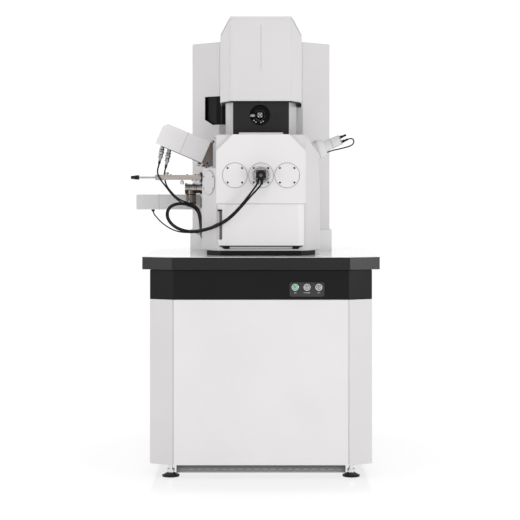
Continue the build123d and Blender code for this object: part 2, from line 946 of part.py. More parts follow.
lift_post_x = 36.0
lift_post_radius = 6.0
lift_post_top = 985.0
with BuildPart() as stage_x_carriage:
    block(
        (-x_carriage_half, beam_y - x_carriage_reach, stage_x_low),
        (x_carriage_half, beam_y + x_carriage_reach, stage_x_high),
    )
    for side in (-1, 1):
        front, back = rib_edges(beam_y + side * x_rib_y, stage_gap)
        block(
            (-x_carriage_half - overcut, front, stage_x_low),
            (x_carriage_half + overcut, back, stage_x_low + guide_depth),
            mode=Mode.SUBTRACT,
        )
    with BuildSketch(across_z(stage_x_high)):
        with Locations((0, beam_y)):
            with GridLocations(2 * lift_post_x, 0, 2, 1):
                Circle(lift_post_radius)
    extrude(amount=lift_post_top - stage_x_high)
save(stage_x_carriage, "stage_x_carriage")

lift_low = 945.0
lift_high = 961.0
tilt_z = 1002.0
ear_x = 54.0
ear_thickness = 7.0
pivot_radius = 5.0
lift_reach = 28.0
ear_radius = 14.0
with BuildPart() as stage_z_lift:
    block(
        (-ear_x - ear_thickness, beam_y - lift_reach, lift_low),
        (ear_x + ear_thickness, beam_y + lift_reach, lift_high),
    )
    for side in (-1, 1):
        with BuildSketch(across_x(side * (ear_x + ear_thickness / 2) - ear_thickness / 2)):
            with BuildLine():
                Polyline(
                    (beam_y - ear_radius, tilt_z),
                    (beam_y - lift_reach, lift_low),
                    (beam_y + lift_reach, lift_low),
                    (beam_y + ear_radius, tilt_z),
                )
                ThreePointArc(
                    (beam_y + ear_radius, tilt_z),
                    (beam_y, tilt_z + ear_radius),
                    (beam_y - ear_radius, tilt_z),
                )
            make_face()
        extrude(amount=ear_thickness)
    with BuildSketch(across_z(lift_low)):
        with Locations((0, beam_y)):
            with GridLocations(2 * lift_post_x, 0, 2, 1):
                Circle(lift_post_radius + thread_clearance)
    extrude(amount=lift_high - lift_low, mode=Mode.SUBTRACT)
    with BuildSketch(across_x(-ear_x - ear_thickness)):
        with Locations((beam_y, tilt_z)):
            Circle(pivot_radius + thread_clearance)
    extrude(amount=2 * (ear_x + ear_thickness), mode=Mode.SUBTRACT)
save(stage_z_lift, "stage_z_lift")

cradle_x = ear_x - stage_gap
cradle_low = tilt_z + 8.0
cradle_high = tilt_z + 16.0
turntable_bore = 7.0
cradle_reach = 34.0
cradle_ear_half = 12.0
with BuildPart() as stage_tilt_cradle:
    with BuildSketch(across_x(-ear_x - ear_thickness)):
        with Locations((beam_y, tilt_z)):
            Circle(pivot_radius)
    extrude(amount=2 * (ear_x + ear_thickness))
    block(
        (-ear_x + ear_thickness, beam_y - ear_radius, tilt_z - ear_radius),
        (ear_x - ear_thickness, beam_y + ear_radius, cradle_low),
        mode=Mode.SUBTRACT,
    )
    for side in (-1, 1):
        ear_middle = side * (cradle_x - ear_thickness / 2)
        block(
            (ear_middle - ear_thickness / 2, beam_y - cradle_ear_half, tilt_z - cradle_ear_half),
            (ear_middle + ear_thickness / 2, beam_y + cradle_ear_half, cradle_high),
        )
    block(
        (-cradle_x, beam_y - cradle_reach, cradle_low),
        (cradle_x, beam_y + cradle_reach, cradle_high),
    )
    with BuildSketch(across_z(cradle_low)):
        with Locations((0, beam_y)):
            Circle(turntable_bore + thread_clearance)
    extrude(amount=cradle_high - cradle_low, mode=Mode.SUBTRACT)
save(stage_tilt_cradle, "stage_tilt_cradle")

table_radius = 33.0
table_thickness = 8.0
holder_radius = 16.0
holder_height = 14.0
stub_hole_radius = 1.6
table_low = cradle_high + stage_gap
table_high = table_low + table_thickness
with BuildPart() as rotation_table:
    with BuildSketch(across_z(table_low)):
        with Locations((0, beam_y)):
            Circle(table_radius)
    extrude(amount=table_thickness)
    with BuildSketch(across_z(cradle_low)):
        with Locations((0, beam_y)):
            Circle(turntable_bore)
    extrude(amount=table_low - cradle_low)
    with BuildSketch(across_z(table_high)):
        with Locations((0, beam_y)):
            Circle(holder_radius)
    extrude(amount=holder_height)
    chamfer(rotation_table.faces().sort_by(Axis.Z)[-1].edges(), 1)
    with BuildSketch(across_z(table_high + holder_height)):
        with Locations((0, beam_y)):
            Circle(stub_hole_radius)
    extrude(amount=-holder_height / 2, mode=Mode.SUBTRACT)
save(rotation_table, "rotation_table")

# Detector on the left: bracket on the chamber with guide rods, then the sliding box
along_eds = (cos(radians(eds_tilt)), sin(radians(eds_tilt)))


def eds_point(distance, height):
    """X and Z of a point along the left detector's axis and above it."""
    return (
        -distance * along_eds[0] + height * along_eds[1],
        eds_aim_z + distance * along_eds[1] + height * along_eds[0],
    )


bracket_depth = 76.0
bracket_face = eds_start - slide_clearance
bracket_rise = 9.0
bracket_drop = 13.0
bracket_top_inset = 6.0
bracket_low_inset = 10.0
with BuildPart() as eds_bracket:
    with BuildSketch(across_y(beam_y - bracket_depth / 2)):
        with BuildLine():
            Polyline(
                (-chamber_half, notch_low + bracket_low_inset),
                eds_point(bracket_face, -eds_height / 2 - bracket_drop),
                eds_point(bracket_face, eds_height / 2 + bracket_rise),
                (-chamber_half, notch_high - bracket_top_inset),
                close=True,
            )
        make_face()
    extrude(amount=-bracket_depth)
    with BuildSketch(eds_plane.offset(bracket_face)):
        with GridLocations(rod_pitch_across, rod_pitch_along, 2, 2):
            Circle(rod_radius)
    extrude(amount=rod_length)
    with BuildSketch(eds_plane.offset(cavity_half)):
        Circle(eds_bore)
    extrude(amount=eds_start, mode=Mode.SUBTRACT)
save(eds_bracket, "eds_bracket")

box_bevel = 16.0
box_round = 2.0
with BuildPart() as eds_housing:
    with BuildSketch(eds_plane.offset(eds_start)):
        Rectangle(eds_width, eds_height)
    extrude(amount=eds_length)
    far_edges = eds_housing.faces().sort_by(Axis.X)[0].edges()
    chamfer(far_edges.sort_by(Axis.Z)[-1], box_bevel)
    fillet(eds_housing.edges().filter_by(Axis.Y, reverse=True), box_round)
    with BuildSketch(eds_plane.offset(eds_start)):
        with GridLocations(rod_pitch_across, rod_pitch_along, 2, 2):
            Circle(rod_radius + rod_clearance)
    extrude(amount=rod_length + slide_clearance, mode=Mode.SUBTRACT)
save(eds_housing, "eds_housing")

eds_tip = 95.0
with BuildPart() as eds_tube:
    with BuildSketch(eds_plane.offset(eds_tip)):
        Circle(eds_tube_radius)
    extrude(amount=eds_start - eds_tip)
    with BuildSketch(eds_plane.offset(eds_tip)):
        Circle(eds_tube_radius * 0.6)
    extrude(amount=3, mode=Mode.SUBTRACT)
save(eds_tube, "eds_tube")

# Two connectors under the far end of the box
connector_radius = 8.0
connector_length = 52.0
connector_tops = ((-374.2, 1212.7), (-349.2, 1198.2))
connector_lean = 11.4
connector_tip = 10.0
with BuildPart() as eds_connectors:
    for top_x, top_z in connector_tops:
        connector_plane = Plane(
            origin=(top_x, beam_y, top_z),
            x_dir=(0, 1, 0),
            z_dir=(-sin(radians(connector_lean)), 0, -cos(radians(connector_lean))),
        )
        with BuildSketch(connector_plane):
            Circle(connector_radius)
        extrude(amount=connector_length)
        with BuildSketch(connector_plane.offset(connector_length)):
            Circle(connector_radius - 2.5)
        extrude(amount=connector_tip)
    add(eds_housing.part, mode=Mode.SUBTRACT)
save(eds_connectors, "eds_connectors")

# Retractable probe under the detector: flange, bar, end block and the rod with its cone grip
bar_right = -234.0
bar_left = -372.0
block_left = probe_rod_left + probe_gap
bar_height = 19.0
bar_depth = 26.0
block_height = 21.0
block_depth = 30.0
rod_bore = 4.0
probe_flange_radius = 19.0
probe_flange_thickness = 6.0
clamp_x = -359.0
clamp_radius = 3.0
clamp_seat = 6.0
clamp_neck = 2.0
clamp_head_radius = 7.0
clamp_head_height = 8.0
with BuildPart() as probe_guide:
    block(
        (bar_left, beam_y - bar_depth / 2, bsd_z - bar_height / 2),
        (bar_right, beam_y + bar_depth / 2, bsd_z + bar_height / 2),
    )
    block(
        (block_left, beam_y - block_depth / 2, bsd_z - block_height / 2),
        (bar_left, beam_y + block_depth / 2, bsd_z + block_height / 2),
    )
    with BuildSketch(across_x(bar_right)):
        with Locations((beam_y, bsd_z)):
            Circle(probe_flange_radius)
    extrude(amount=probe_flange_thickness)
    with BuildSketch(across_x(bar_right)):
        with Locations((beam_y, bsd_z)):
            Circle(bsd_bore)
    extrude(amount=-cavity_half - bar_right)
    with BuildSketch(across_x(block_left)):
        with Locations((beam_y, bsd_z)):
            Circle(rod_bore + thread_clearance)
    extrude(amount=-block_left, mode=Mode.SUBTRACT)
    with BuildSketch(across_z(bsd_z + clamp_seat)):
        with Locations((clamp_x, beam_y)):
            Circle(clamp_radius + thread_clearance)
    extrude(amount=bar_height, mode=Mode.SUBTRACT)
save(probe_guide, "probe_guide")

with BuildPart() as probe_clamp_screw:
    with BuildSketch(across_z(bsd_z + clamp_seat)):
        with Locations((clamp_x, beam_y)):
            Circle(clamp_radius)
    extrude(amount=bar_height / 2)
    with BuildSketch(across_z(bsd_z + bar_height / 2 + clamp_neck)):
        with Locations((clamp_x, beam_y)):
            Circle(clamp_head_radius)
    extrude(amount=clamp_head_height)
save(probe_clamp_screw, "probe_clamp_screw")

probe_rod_right = -118.0
paddle_length = 40.0
paddle_half = 12.0
paddle_thickness = 3.0
cone_taper = 6.0
with BuildPart() as probe_rod:
    with BuildSketch(across_x(probe_rod_left)):
        with Locations((beam_y, bsd_z)):
            Circle(rod_bore)
    extrude(amount=probe_rod_right - probe_rod_left)
    block(
        (probe_rod_right, beam_y - paddle_half, bsd_z - paddle_thickness / 2),
        (probe_rod_right + paddle_length, beam_y + paddle_half, bsd_z + paddle_thickness / 2),
    )
    with BuildSketch(across_x(probe_rod_left)):
        with Locations((beam_y, bsd_z)):
            Circle(cone_radius)
    extrude(amount=-cone_length, taper=cone_taper)
save(probe_rod, "probe_rod")

# Vacuum gauge: a flanged nipple on the chamber and the gauge head hanging from it
gauge_left = -291.0
gauge_ring_radius = 21.5
gauge_ring_width = 8.0
gauge_ring_pitch = 29.0
gauge_spigot = 10.0
gauge_head_x = -268.0
gauge_head_low = 985.0
gauge_head_radius = 18.5
gauge_head_sink = 5.0
gauge_foot_radius = 15.0
gauge_foot_height = 8.0
with BuildPart() as gauge_nipple:
    with BuildSketch(across_x(gauge_left)):
        with Locations((gauge_y, gauge_z)):
            Circle(gauge_bore)
    extrude(amount=-cavity_half - gauge_spigot - gauge_left)
    for ring in range(3):
        with BuildSketch(across_x(gauge_left + ring * gauge_ring_pitch)):
            with Locations((gauge_y, gauge_z)):
                Circle(gauge_ring_radius)
        extrude(amount=gauge_ring_width)
save(gauge_nipple, "gauge_nipple")

with BuildPart() as gauge_head:
    with BuildSketch(across_z(gauge_head_low)):
        with Locations((gauge_head_x, gauge_y)):
            Circle(gauge_head_radius)
    extrude(amount=gauge_z - gauge_head_low - gauge_head_sink)
    with BuildSketch(across_z(gauge_head_low - gauge_foot_height)):
        with Locations((gauge_head_x, gauge_y)):
            Circle(gauge_foot_radius)
    extrude(amount=gauge_foot_height)
    add(gauge_nipple.part, mode=Mode.SUBTRACT)
save(gauge_head, "gauge_head")

# Grey spectrometer arm that reaches out behind the detectors
arm_left = -481.0
arm_right = -236.0
arm_round = 5.0
with BuildPart() as side_arm:
    with BuildSketch(across_x(arm_left)):
        with Locations((arm_y, arm_z)):
            RectangleRounded(arm_depth, arm_height, arm_round)
    extrude(amount=arm_right - arm_left)
    with BuildSketch(across_x(arm_right)):
        with Locations((arm_y, arm_z)):
            Circle(arm_spigot)
    extrude(amount=-cavity_half - gauge_spigot - arm_right)
save(side_arm, "side_arm")

# Secondary electron detector on the right: tube, two steps and its connectors
se_outer = 212.0
se_step = 243.0
se_end = 262.0
se_small_end = 325.0
se_small_radius = 20.0
se_tip = 105.0
se_taper = 20.0
with BuildPart() as se_detector:
    with BuildSketch(se_plane.offset(se_tip)):
        Circle(se_port_radius)
    extrude(amount=se_outer - se_tip)
    with BuildSketch(se_plane.offset(se_outer)):
        Circle(se_body_radius)
    extrude(amount=se_step - se_outer)
    with BuildSketch(se_plane.offset(se_step)):
        Circle(se_body_radius)
    extrude(amount=se_end - se_step, taper=se_taper)
    with BuildSketch(se_plane.offset(se_end)):
        Circle(se_small_radius)
    extrude(amount=se_small_end - se_end)
save(se_detector, "se_detector")

boot_length = 30.0
boot_height_each_way = 9.0
boot_radius = 5.5
boot_end_radius = 4.0
with BuildPart() as se_connectors:
    for side in (-1, 1):
        boot_height = side * boot_height_each_way
        boot_plane = se_plane.offset(se_small_end)
        with BuildSketch(boot_plane):
            with Locations((0, boot_height)):
                Circle(boot_radius)
        extrude(amount=boot_length / 2)
        with BuildSketch(boot_plane.offset(boot_length / 2)):
            with Locations((0, boot_height)):
                Circle(boot_end_radius)
        extrude(amount=boot_length / 2)
save(se_connectors, "se_connectors")

# Turbomolecular pump on the chamber's back port, inside the rear housing
pump_flange_radius = 78.0
pump_flange_thickness = 14.0
pump_body_radius = 68.0
pump_length = 180.0
pump_inlet_radius = 50.0
pump_inlet_depth = 60.0
with BuildPart() as turbo_pump:
    with BuildSketch(across_y(chamber_back)):
        with Locations((0, turbo_z)):
            Circle(pump_flange_radius)
    extrude(amount=-pump_flange_thickness)
    with BuildSketch(across_y(chamber_back)):
        with Locations((0, turbo_z)):
            Circle(pump_body_radius)
    extrude(amount=-pump_length)
    with BuildSketch(across_y(chamber_back)):
        with Locations((0, turbo_z)):
            Circle(pump_inlet_radius)
    extrude(amount=-pump_inlet_depth, mode=Mode.SUBTRACT)
save(turbo_pump, "turbo_pump")

# Electron column: objective lens with its pole tip, and the column above it
lens_flange_radius = 90.0
lens_flange_height = 12.0
lens_cone_top = 1165.0
lens_bore = 6.0
with BuildPart() as objective_lens:
    with BuildSketch(Plane.XZ):
        with BuildLine():
            Polyline(
                (lens_bore, lens_tip_z),
                (lens_tip_radius, lens_tip_z),
                (lens_radius, lens_cone_top),
                (lens_radius, chamber_top),
                (lens_flange_radius, chamber_top),
                (lens_flange_radius, chamber_top + lens_flange_height),
                (lens_bore, chamber_top + lens_flange_height),
                close=True,
            )
        make_face()
    revolve(axis=Axis.Z)
with BuildPart() as placed_lens:
    add(objective_lens.part.moved(Location((0, beam_y, 0))))
save(placed_lens, "objective_lens")

column_low = chamber_top + lens_flange_height
boss_radius = 18.0
boss_front = -268.0
knob_pin_radius = 3.0
knob_left = -40.0
knob_right = -24.0
knob_radius = 12.0
hub_pin_radius = 5.0
hub_pin_length = 12.0
column_step = 160.0
column_slope = 15.0
gun_neck_radius = 42.0
gun_neck_height = 20.0
boss_root = beam_y - column_radius + 10.0
knob_y = boss_front + 8.0
pin_end_gap = 2.0
with BuildPart() as electron_column:
    with BuildSketch(Plane.XZ):
        with BuildLine():
            Polyline(
                (lens_bore, column_low),
                (column_radius, column_low),
                (column_radius, column_low + column_step),
                (gun_radius, column_low + column_step + column_slope),
                (gun_radius, column_top),
                (gun_neck_radius, column_top + gun_neck_height),
                (lens_bore, column_top + gun_neck_height),
                close=True,
            )
        make_face()
    revolve(axis=Axis.Z)
with BuildPart() as placed_column:
    add(electron_column.part.moved(Location((0, beam_y, 0))))
    with BuildSketch(across_y(boss_root)):
        with Locations((aperture_x, aperture_z)):
            Circle(boss_radius)
    extrude(amount=boss_root - boss_front)
    with BuildSketch(across_y(boss_front)):
        with Locations((aperture_x, aperture_z)):
            Circle(hub_pin_radius)
    extrude(amount=hub_pin_length)
    with BuildSketch(across_x(knob_left + pin_end_gap)):
        with Locations((knob_y, aperture_z)):
            Circle(knob_pin_radius)
    extrude(amount=aperture_x - knob_left)
save(placed_column, "electron_column")

hub_rim = 8.0
hub_dome = 18.0
hub_taper = 20.0
with BuildPart() as aperture_hub:
    with BuildSketch(across_y(boss_front - slide_clearance)):
        with Locations((aperture_x, aperture_z)):
            Circle(boss_radius)
    extrude(amount=hub_rim)
    with BuildSketch(across_y(boss_front - slide_clearance - hub_rim)):
        with Locations((aperture_x, aperture_z)):
            Circle(boss_radius)
    extrude(amount=hub_dome, taper=hub_taper)
    with BuildSketch(across_y(boss_front)):
        with Locations((aperture_x, aperture_z)):
            Circle(hub_pin_radius + thread_clearance)
    extrude(amount=hub_pin_length + 1.0, mode=Mode.SUBTRACT)
save(aperture_hub, "aperture_hub")

with BuildPart() as aperture_knob:
    with BuildSketch(across_x(knob_left)):
        with Locations((knob_y, aperture_z)):
            RegularPolygon(knob_radius, 16)
            Circle(knob_pin_radius + thread_clearance, mode=Mode.SUBTRACT)
    extrude(amount=knob_right - knob_left)
save(aperture_knob, "aperture_knob")

# Dark shroud between the chamber and the white column cover
mid_plan = faceted_plan(mid_half, mid_front_half, mid_front, mid_facet_depth, cover_back)
mid_inner_plan = inset_outline(mid_plan, mid_wall)
mid_low = cover_top
with BuildPart() as mid_enclosure:
    with BuildSketch(across_z(mid_low)):
        add(mid_plan)
        add(mid_inner_plan, mode=Mode.SUBTRACT)
    extrude(amount=mid_top - mid_low)
    with BuildSketch(across_y(mid_front)):
        with Locations((aperture_x, aperture_z)):
            Circle(aperture_window)
    extrude(amount=-2 * mid_wall, mode=Mode.SUBTRACT)
save(mid_enclosure, "mid_enclosure")

# White faceted cover of the column
column_plan = faceted_plan(
    column_half, column_front_half, column_front, column_facet_depth, cover_back
)
column_elevation = shouldered_elevation(
    column_half, column_half, column_front_half, mid_top, column_height, column_slope_drop
)
column_inner_plan = inset_outline(column_plan, column_wall)
column_inner_elevation = inset_outline(column_elevation, column_wall)
with BuildPart() as column_cover:
    add(housing_form(column_plan, column_elevation, mid_top, column_height))
    crown = column_cover.faces().sort_by(Axis.Z)[-1]
    front_edge = crown.edges().sort_by(Axis.Y)[0]
    slopes = column_cover.faces().filter_by(lambda face: 0.3 < face.normal_at().Z < 0.9)
    slope_edges = slopes.edges().group_by(Axis.Y)[0]
    chamfer([front_edge, *slope_edges], column_bevel)
    add(
        housing_form(
            column_inner_plan, column_inner_elevation, mid_top + column_wall, column_height - column_bevel
        ),
        mode=Mode.SUBTRACT,
    )
    with BuildSketch(across_z(mid_top)):
        add(mid_inner_plan)
    extrude(amount=column_wall, mode=Mode.SUBTRACT)
    with BuildSketch(across_y(column_front)):
        with Locations((0, (groove_low + groove_high) / 2)):
            SlotOverall(groove_high - groove_low, groove_width, rotation=90)
    extrude(amount=-1.0, mode=Mode.SUBTRACT)
save(column_cover, "column_cover")

# Rear housing on its own base, with a cable port in its left facet
rear_low = worktop_top + rear_base_height
rear_plan = faceted_plan(rear_half, rear_front_half, rear_front, rear_facet_depth, rear_back)
rear_inner_plan = inset_outline(rear_plan, rear_wall)
pump_opening = pump_flange_radius + 8.0
vent_columns = 12
with BuildPart() as rear_housing:
    add(prism(rear_plan, rear_low, rear_top))
    add(prism(rear_inner_plan, rear_low, rear_top - rear_wall), mode=Mode.SUBTRACT)
    block(
        (rear_wall - rear_half, bulkhead_y, bulkhead_low),
        (rear_half - rear_wall, bulkhead_y + rear_wall, bulkhead_high),
    )
    with BuildSketch(across_y(rear_front)):
        with BuildLine():
            Polyline(
                (port_left, port_high),
                (port_right, port_high),
                (port_right, port_low),
                (port_corner, port_low),
                (port_left, port_side_low),
                close=True,
            )
        make_face()
        with Locations((0, turbo_z)):
            Circle(pump_opening)
    extrude(amount=-(rear_facet_depth - 2 * rear_wall), mode=Mode.SUBTRACT)
    with BuildSketch(across_y(rear_back)):
        with Locations((0, (rear_low + rear_top) / 2)):
            with GridLocations(0, 2 * vent_pitch, 1, vent_columns):
                SlotOverall(3 * vent_length, vent_height)
    extrude(amount=2 * rear_wall, mode=Mode.SUBTRACT)
    with BuildSketch(across_y(housing_gland_y)):
        with Locations((gland_x, housing_gland_z), (gland_x, housing_gland_z + gland_pitch)):
            Circle(gland_radius)
    extrude(amount=-rear_facet_depth / 2)
save(rear_housing, "rear_housing")

rear_base_plan = faceted_plan(
    rear_half + rear_base_margin,
    rear_front_half + rear_base_margin,
    rear_front + slide_clearance,
    rear_facet_depth,
    rear_back - rear_base_margin,
)
rear_base_inner_plan = inset_outline(rear_base_plan, rear_base_wall)
with BuildPart() as rear_housing_base:
    add(prism(rear_base_plan, worktop_top, rear_low))
    add(prism(rear_base_inner_plan, worktop_top, rear_low - rear_deck), mode=Mode.SUBTRACT)
    with BuildSketch(across_y(base_gland_y)):
        with Locations((gland_x, base_gland_z), (gland_x, base_gland_z + gland_pitch)):
            Circle(gland_radius)
    extrude(amount=-rear_facet_depth / 2)
    with BuildSketch(across_y(housing_gland_y)):
        with Locations((arm_gland_x, base_gland_z + gland_pitch)):
            Circle(gland_radius)
    extrude(amount=-rear_facet_depth / 2)
save(rear_housing_base, "rear_housing_base")


# Cables, each one tube of straight runs joined by arcs
def cord_tube(name, route, diameter):
    """Tube along a route, whose arcs are as large as their runs allow."""
    points = [Vector(*point) for point in route]
    radii = []
    for before, corner, after in zip(points, points[1:], points[2:]):
        turn = radians((corner - before).get_angle(after - corner))
        shorter = min((corner - before).length, (after - corner).length)
        radii.append(0.45 * shorter / tan(turn / 2))
    with BuildLine() as path:
        FilletPolyline(*points, radius=radii)
    with BuildPart() as tube:
        with BuildSketch(Plane(origin=path.line @ 0, z_dir=path.line % 0)):
            Circle(diameter / 2)
        sweep(path=path.line)
    length = sum(edge.length for edge in path.edges())
    section = pi * diameter**2 / 4
    print(name, "length", round(length, 1), "smallest radius", round(min(radii), 1),
          "volume ratio", round(tube.part.volume / (section * length), 4))
    save(tube, name)


camera_cable_a_route = [
    (-12, -414, 1076), (-12, -414, 1064), (-24, -420, 1047), (-44, -424, 1020), (-69, -426, 989),
    (-96, -424, 959), (-124, -416, 935), (-152, -402, 918), (-176, -385, 907), (-204, -362, 898),
    (-234, -338, 891), (-262, -320, 889), (-288, -304, 893), (-312, -292, 902), (-333, -282, 917),
    (-346, -272, 937), (-348, -262, 957), (-341, -252, 973), (-326, -245, 983), (-303, -238, 988),
    (-279, -229, 985), (-256, -216, 976), (-239, -198, 959), (-234, -172, 930), (-233, -136, 903),
    (-234, -95, 883), (-235, -46, 868), (-233, 3, 856), (-233, 45, 856),
]
camera_cable_b_route = [
    (3, -414, 1076), (3, -414, 1062), (-14, -416, 1042), (-39, -418, 1016), (-65, -420, 985),
    (-93, -417, 954), (-121, -409, 929), (-150, -395, 912), (-175, -378, 901), (-203, -354, 892),
    (-233, -330, 885), (-263, -312, 883), (-290, -296, 887), (-315, -284, 897), (-337, -275, 913),
    (-352, -265, 935), (-354, -255, 958), (-346, -245, 976), (-329, -238, 988), (-304, -231, 993),
    (-278, -222, 990), (-254, -209, 981), (-235, -189, 965), (-231, -159, 941), (-230, -120, 917),
    (-231, -80, 898), (-232, -40, 883), (-233, 4, 872), (-233, 45, 872),
]
eds_cable_a_route = [
    (-386.455, -150, 1151.923), (-389.62, -150, 1136.24), (-395, -157, 1116), (-391, -172, 1095),
    (-377, -185, 1074), (-360, -190, 1054), (-343, -190, 1030), (-323, -189, 1009),
    (-298, -187, 991), (-273, -183, 984), (-250, -174, 974), (-237, -150, 956), (-234, -114, 938),
    (-232, -74, 925), (-234, -26, 914), (-233, 20, 905), (-233, 60, 905),
]
eds_cable_b_route = [
    (-361.455, -150, 1137.423), (-364.42, -150, 1122.72), (-369, -137, 1110), (-371, -121, 1097),
    (-369, -116, 1080), (-364, -124, 1063), (-355, -142, 1048), (-342, -159, 1034),
    (-325, -169, 1016), (-303, -172, 1001), (-279, -170, 993), (-256, -161, 985),
    (-240, -139, 972), (-234, -104, 956), (-232, -60, 941), (-234, -16, 929), (-233, 28, 921),
    (-233, 60, 921),
]
arm_cable_route = [
    (-419, -50, 966), (-419, -50, 952), (-405, -51, 935), (-388, -53, 917), (-370, -55, 903),
    (-352, -57, 892), (-334, -58, 884), (-312, -58, 878), (-288, -54, 876), (-267, -43, 876),
    (-254, -24, 875), (-251, 4, 873), (-250, 32, 872), (-250, 60, 872),
]
se_cable_route = [
    (331.42, -150, 1234.54), (342.51, -150, 1239.13), (354, -150, 1233), (354, -150, 1219),
    (342, -150, 1209), (320, -150, 1203), (297, -149, 1197), (270.1, -150, 1191.82),
    (251.65, -150, 1184.18),
]
cord_tube("camera_cable_a", camera_cable_a_route, camera_cable_diameter)
cord_tube("camera_cable_b", camera_cable_b_route, camera_cable_diameter)
cord_tube("eds_cable_a", eds_cable_a_route, eds_cable_diameter)
cord_tube("eds_cable_b", eds_cable_b_route, eds_cable_diameter)
cord_tube("arm_cable", arm_cable_route, thin_cable_diameter)
cord_tube("se_cable", se_cable_route, thin_cable_diameter)
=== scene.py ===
import math

import bmesh
import bpy
from mathutils import Matrix, Vector


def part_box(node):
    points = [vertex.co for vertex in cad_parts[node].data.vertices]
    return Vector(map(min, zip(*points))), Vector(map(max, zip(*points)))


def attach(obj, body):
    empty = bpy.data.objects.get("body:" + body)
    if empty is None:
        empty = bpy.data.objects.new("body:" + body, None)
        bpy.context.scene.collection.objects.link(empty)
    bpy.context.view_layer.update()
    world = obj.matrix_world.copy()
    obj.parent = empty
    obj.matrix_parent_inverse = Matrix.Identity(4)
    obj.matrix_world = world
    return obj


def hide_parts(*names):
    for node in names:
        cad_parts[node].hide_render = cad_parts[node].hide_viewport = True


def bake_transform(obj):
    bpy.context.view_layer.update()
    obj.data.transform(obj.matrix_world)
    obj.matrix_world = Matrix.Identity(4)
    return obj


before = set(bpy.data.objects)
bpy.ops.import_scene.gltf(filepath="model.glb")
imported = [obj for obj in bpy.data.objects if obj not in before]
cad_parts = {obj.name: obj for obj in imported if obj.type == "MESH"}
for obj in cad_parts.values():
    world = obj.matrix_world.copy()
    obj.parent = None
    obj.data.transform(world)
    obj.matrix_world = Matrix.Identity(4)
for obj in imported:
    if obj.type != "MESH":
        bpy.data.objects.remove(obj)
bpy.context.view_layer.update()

X_AXIS = Vector((1, 0, 0))
Y_AXIS = Vector((0, 1, 0))
Z_AXIS = Vector((0, 0, 1))
FRONT = -Y_AXIS

# Places that the solids give, all but the first counted from the cabinet's middle plane
worktop_low, worktop_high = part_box("worktop")
MIDDLE_X = (worktop_low[0] + worktop_high[0]) / 2
BEAM_Y = -0.150
DETECTOR_TILT = math.radians(23.2)
DETECTOR_AIM = Vector((0, BEAM_Y, 1.094))
DETECTOR_OUT = Vector((-math.cos(DETECTOR_TILT), 0, math.sin(DETECTOR_TILT)))
DETECTOR_UP = Vector((math.sin(DETECTOR_TILT), 0, math.cos(DETECTOR_TILT)))
SECONDARY_TILT = math.radians(22.5)
SECONDARY_AIM = Vector((0, BEAM_Y, 1.107))
SECONDARY_OUT = Vector((math.cos(SECONDARY_TILT), 0, math.sin(SECONDARY_TILT)))
SECONDARY_UP = Vector((-math.sin(SECONDARY_TILT), 0, math.cos(SECONDARY_TILT)))
PORT_Z = 1.094
PROBE_Z = 1.089
PORT_PITCH = 0.0955
BUTTON_Z = 0.6907
BUTTON_PITCH = 0.0425
BUTTON_MIDDLE = 0.1653


# Materials

CLOUD_SCALE = 5.0
ROUGHNESS_SPREAD = 0.05
OTHER_ROUGHNESS_SPREAD = 0.03
RELIEF_DEPTH = 0.0005
LAMP_STRENGTH = 1.5
SLANTED_NORMAL = -0.4
SLANTED_MARGIN = 0.2


def link(tree, start, end):
    tree.links.new(start, end)


def object_coordinates(tree, stretch):
    """Coordinates in metres, stretched for brushed or grained finishes."""
    coordinates = tree.nodes.new("ShaderNodeTexCoord")
    mapping = tree.nodes.new("ShaderNodeMapping")
    mapping.inputs["Scale"].default_value = stretch
    link(tree, coordinates.outputs["Object"], mapping.inputs["Vector"])
    return mapping.outputs["Vector"]


def noise(tree, vector, scale, detail=3.0):
    node = tree.nodes.new("ShaderNodeTexNoise")
    node.inputs["Scale"].default_value = scale
    node.inputs["Detail"].default_value = detail
    link(tree, vector, node.inputs["Vector"])
    return node.outputs["Fac"]


def ramp(tree, factor, low, high):
    """Colour that runs from low to high with the factor."""
    node = tree.nodes.new("ShaderNodeValToRGB")
    node.color_ramp.elements[0].position = 0.3
    node.color_ramp.elements[1].position = 0.7
    node.color_ramp.elements[0].color = (*low, 1)
    node.color_ramp.elements[1].color = (*high, 1)
    link(tree, factor, node.inputs["Fac"])
    return node.outputs["Color"]


def spread(tree, factor, low, high):
    """Number that runs from low to high with the factor."""
    node = tree.nodes.new("ShaderNodeMapRange")
    node.inputs["To Min"].default_value = low
    node.inputs["To Max"].default_value = high
    link(tree, factor, node.inputs["Value"])
    return node.outputs["Result"]


def shade(colour, amount):
    return tuple(max(0.0, min(1.0, channel * amount)) for channel in colour)


def along_axis(tree, vector, axis):
    """One coordinate of a vector."""
    split = tree.nodes.new("ShaderNodeSeparateXYZ")
    link(tree, vector, split.inputs["Vector"])
    return split.outputs[axis]


def beyond(tree, value, level):
    """One where a value is above a level, nought elsewhere."""
    above = tree.nodes.new("ShaderNodeMath")
    above.operation = "GREATER_THAN"
    above.inputs[1].default_value = level
    link(tree, value, above.inputs[0])
    return above.outputs["Value"]


def height_mask(tree, axis, level):
    """One above a level along an axis, nought below it."""
    coordinates = tree.nodes.new("ShaderNodeTexCoord")
    return beyond(tree, along_axis(tree, coordinates.outputs["Object"], axis), level)


def facing_mask(tree, axis, level):
    """One where the surface faces along an axis."""
    geometry = tree.nodes.new("ShaderNodeNewGeometry")
    return beyond(tree, along_axis(tree, geometry.outputs["Normal"], axis), level)


def slanted_mask(tree):
    """One on the slanted facets of an upright housing, nought on its front and sides."""
    geometry = tree.nodes.new("ShaderNodeNewGeometry")
    near = tree.nodes.new("ShaderNodeMath")
    near.operation = "COMPARE"
    near.inputs[1].default_value = SLANTED_NORMAL
    near.inputs[2].default_value = SLANTED_MARGIN
    link(tree, along_axis(tree, geometry.outputs["True Normal"], "Y"), near.inputs[0])
    return near.outputs["Value"]


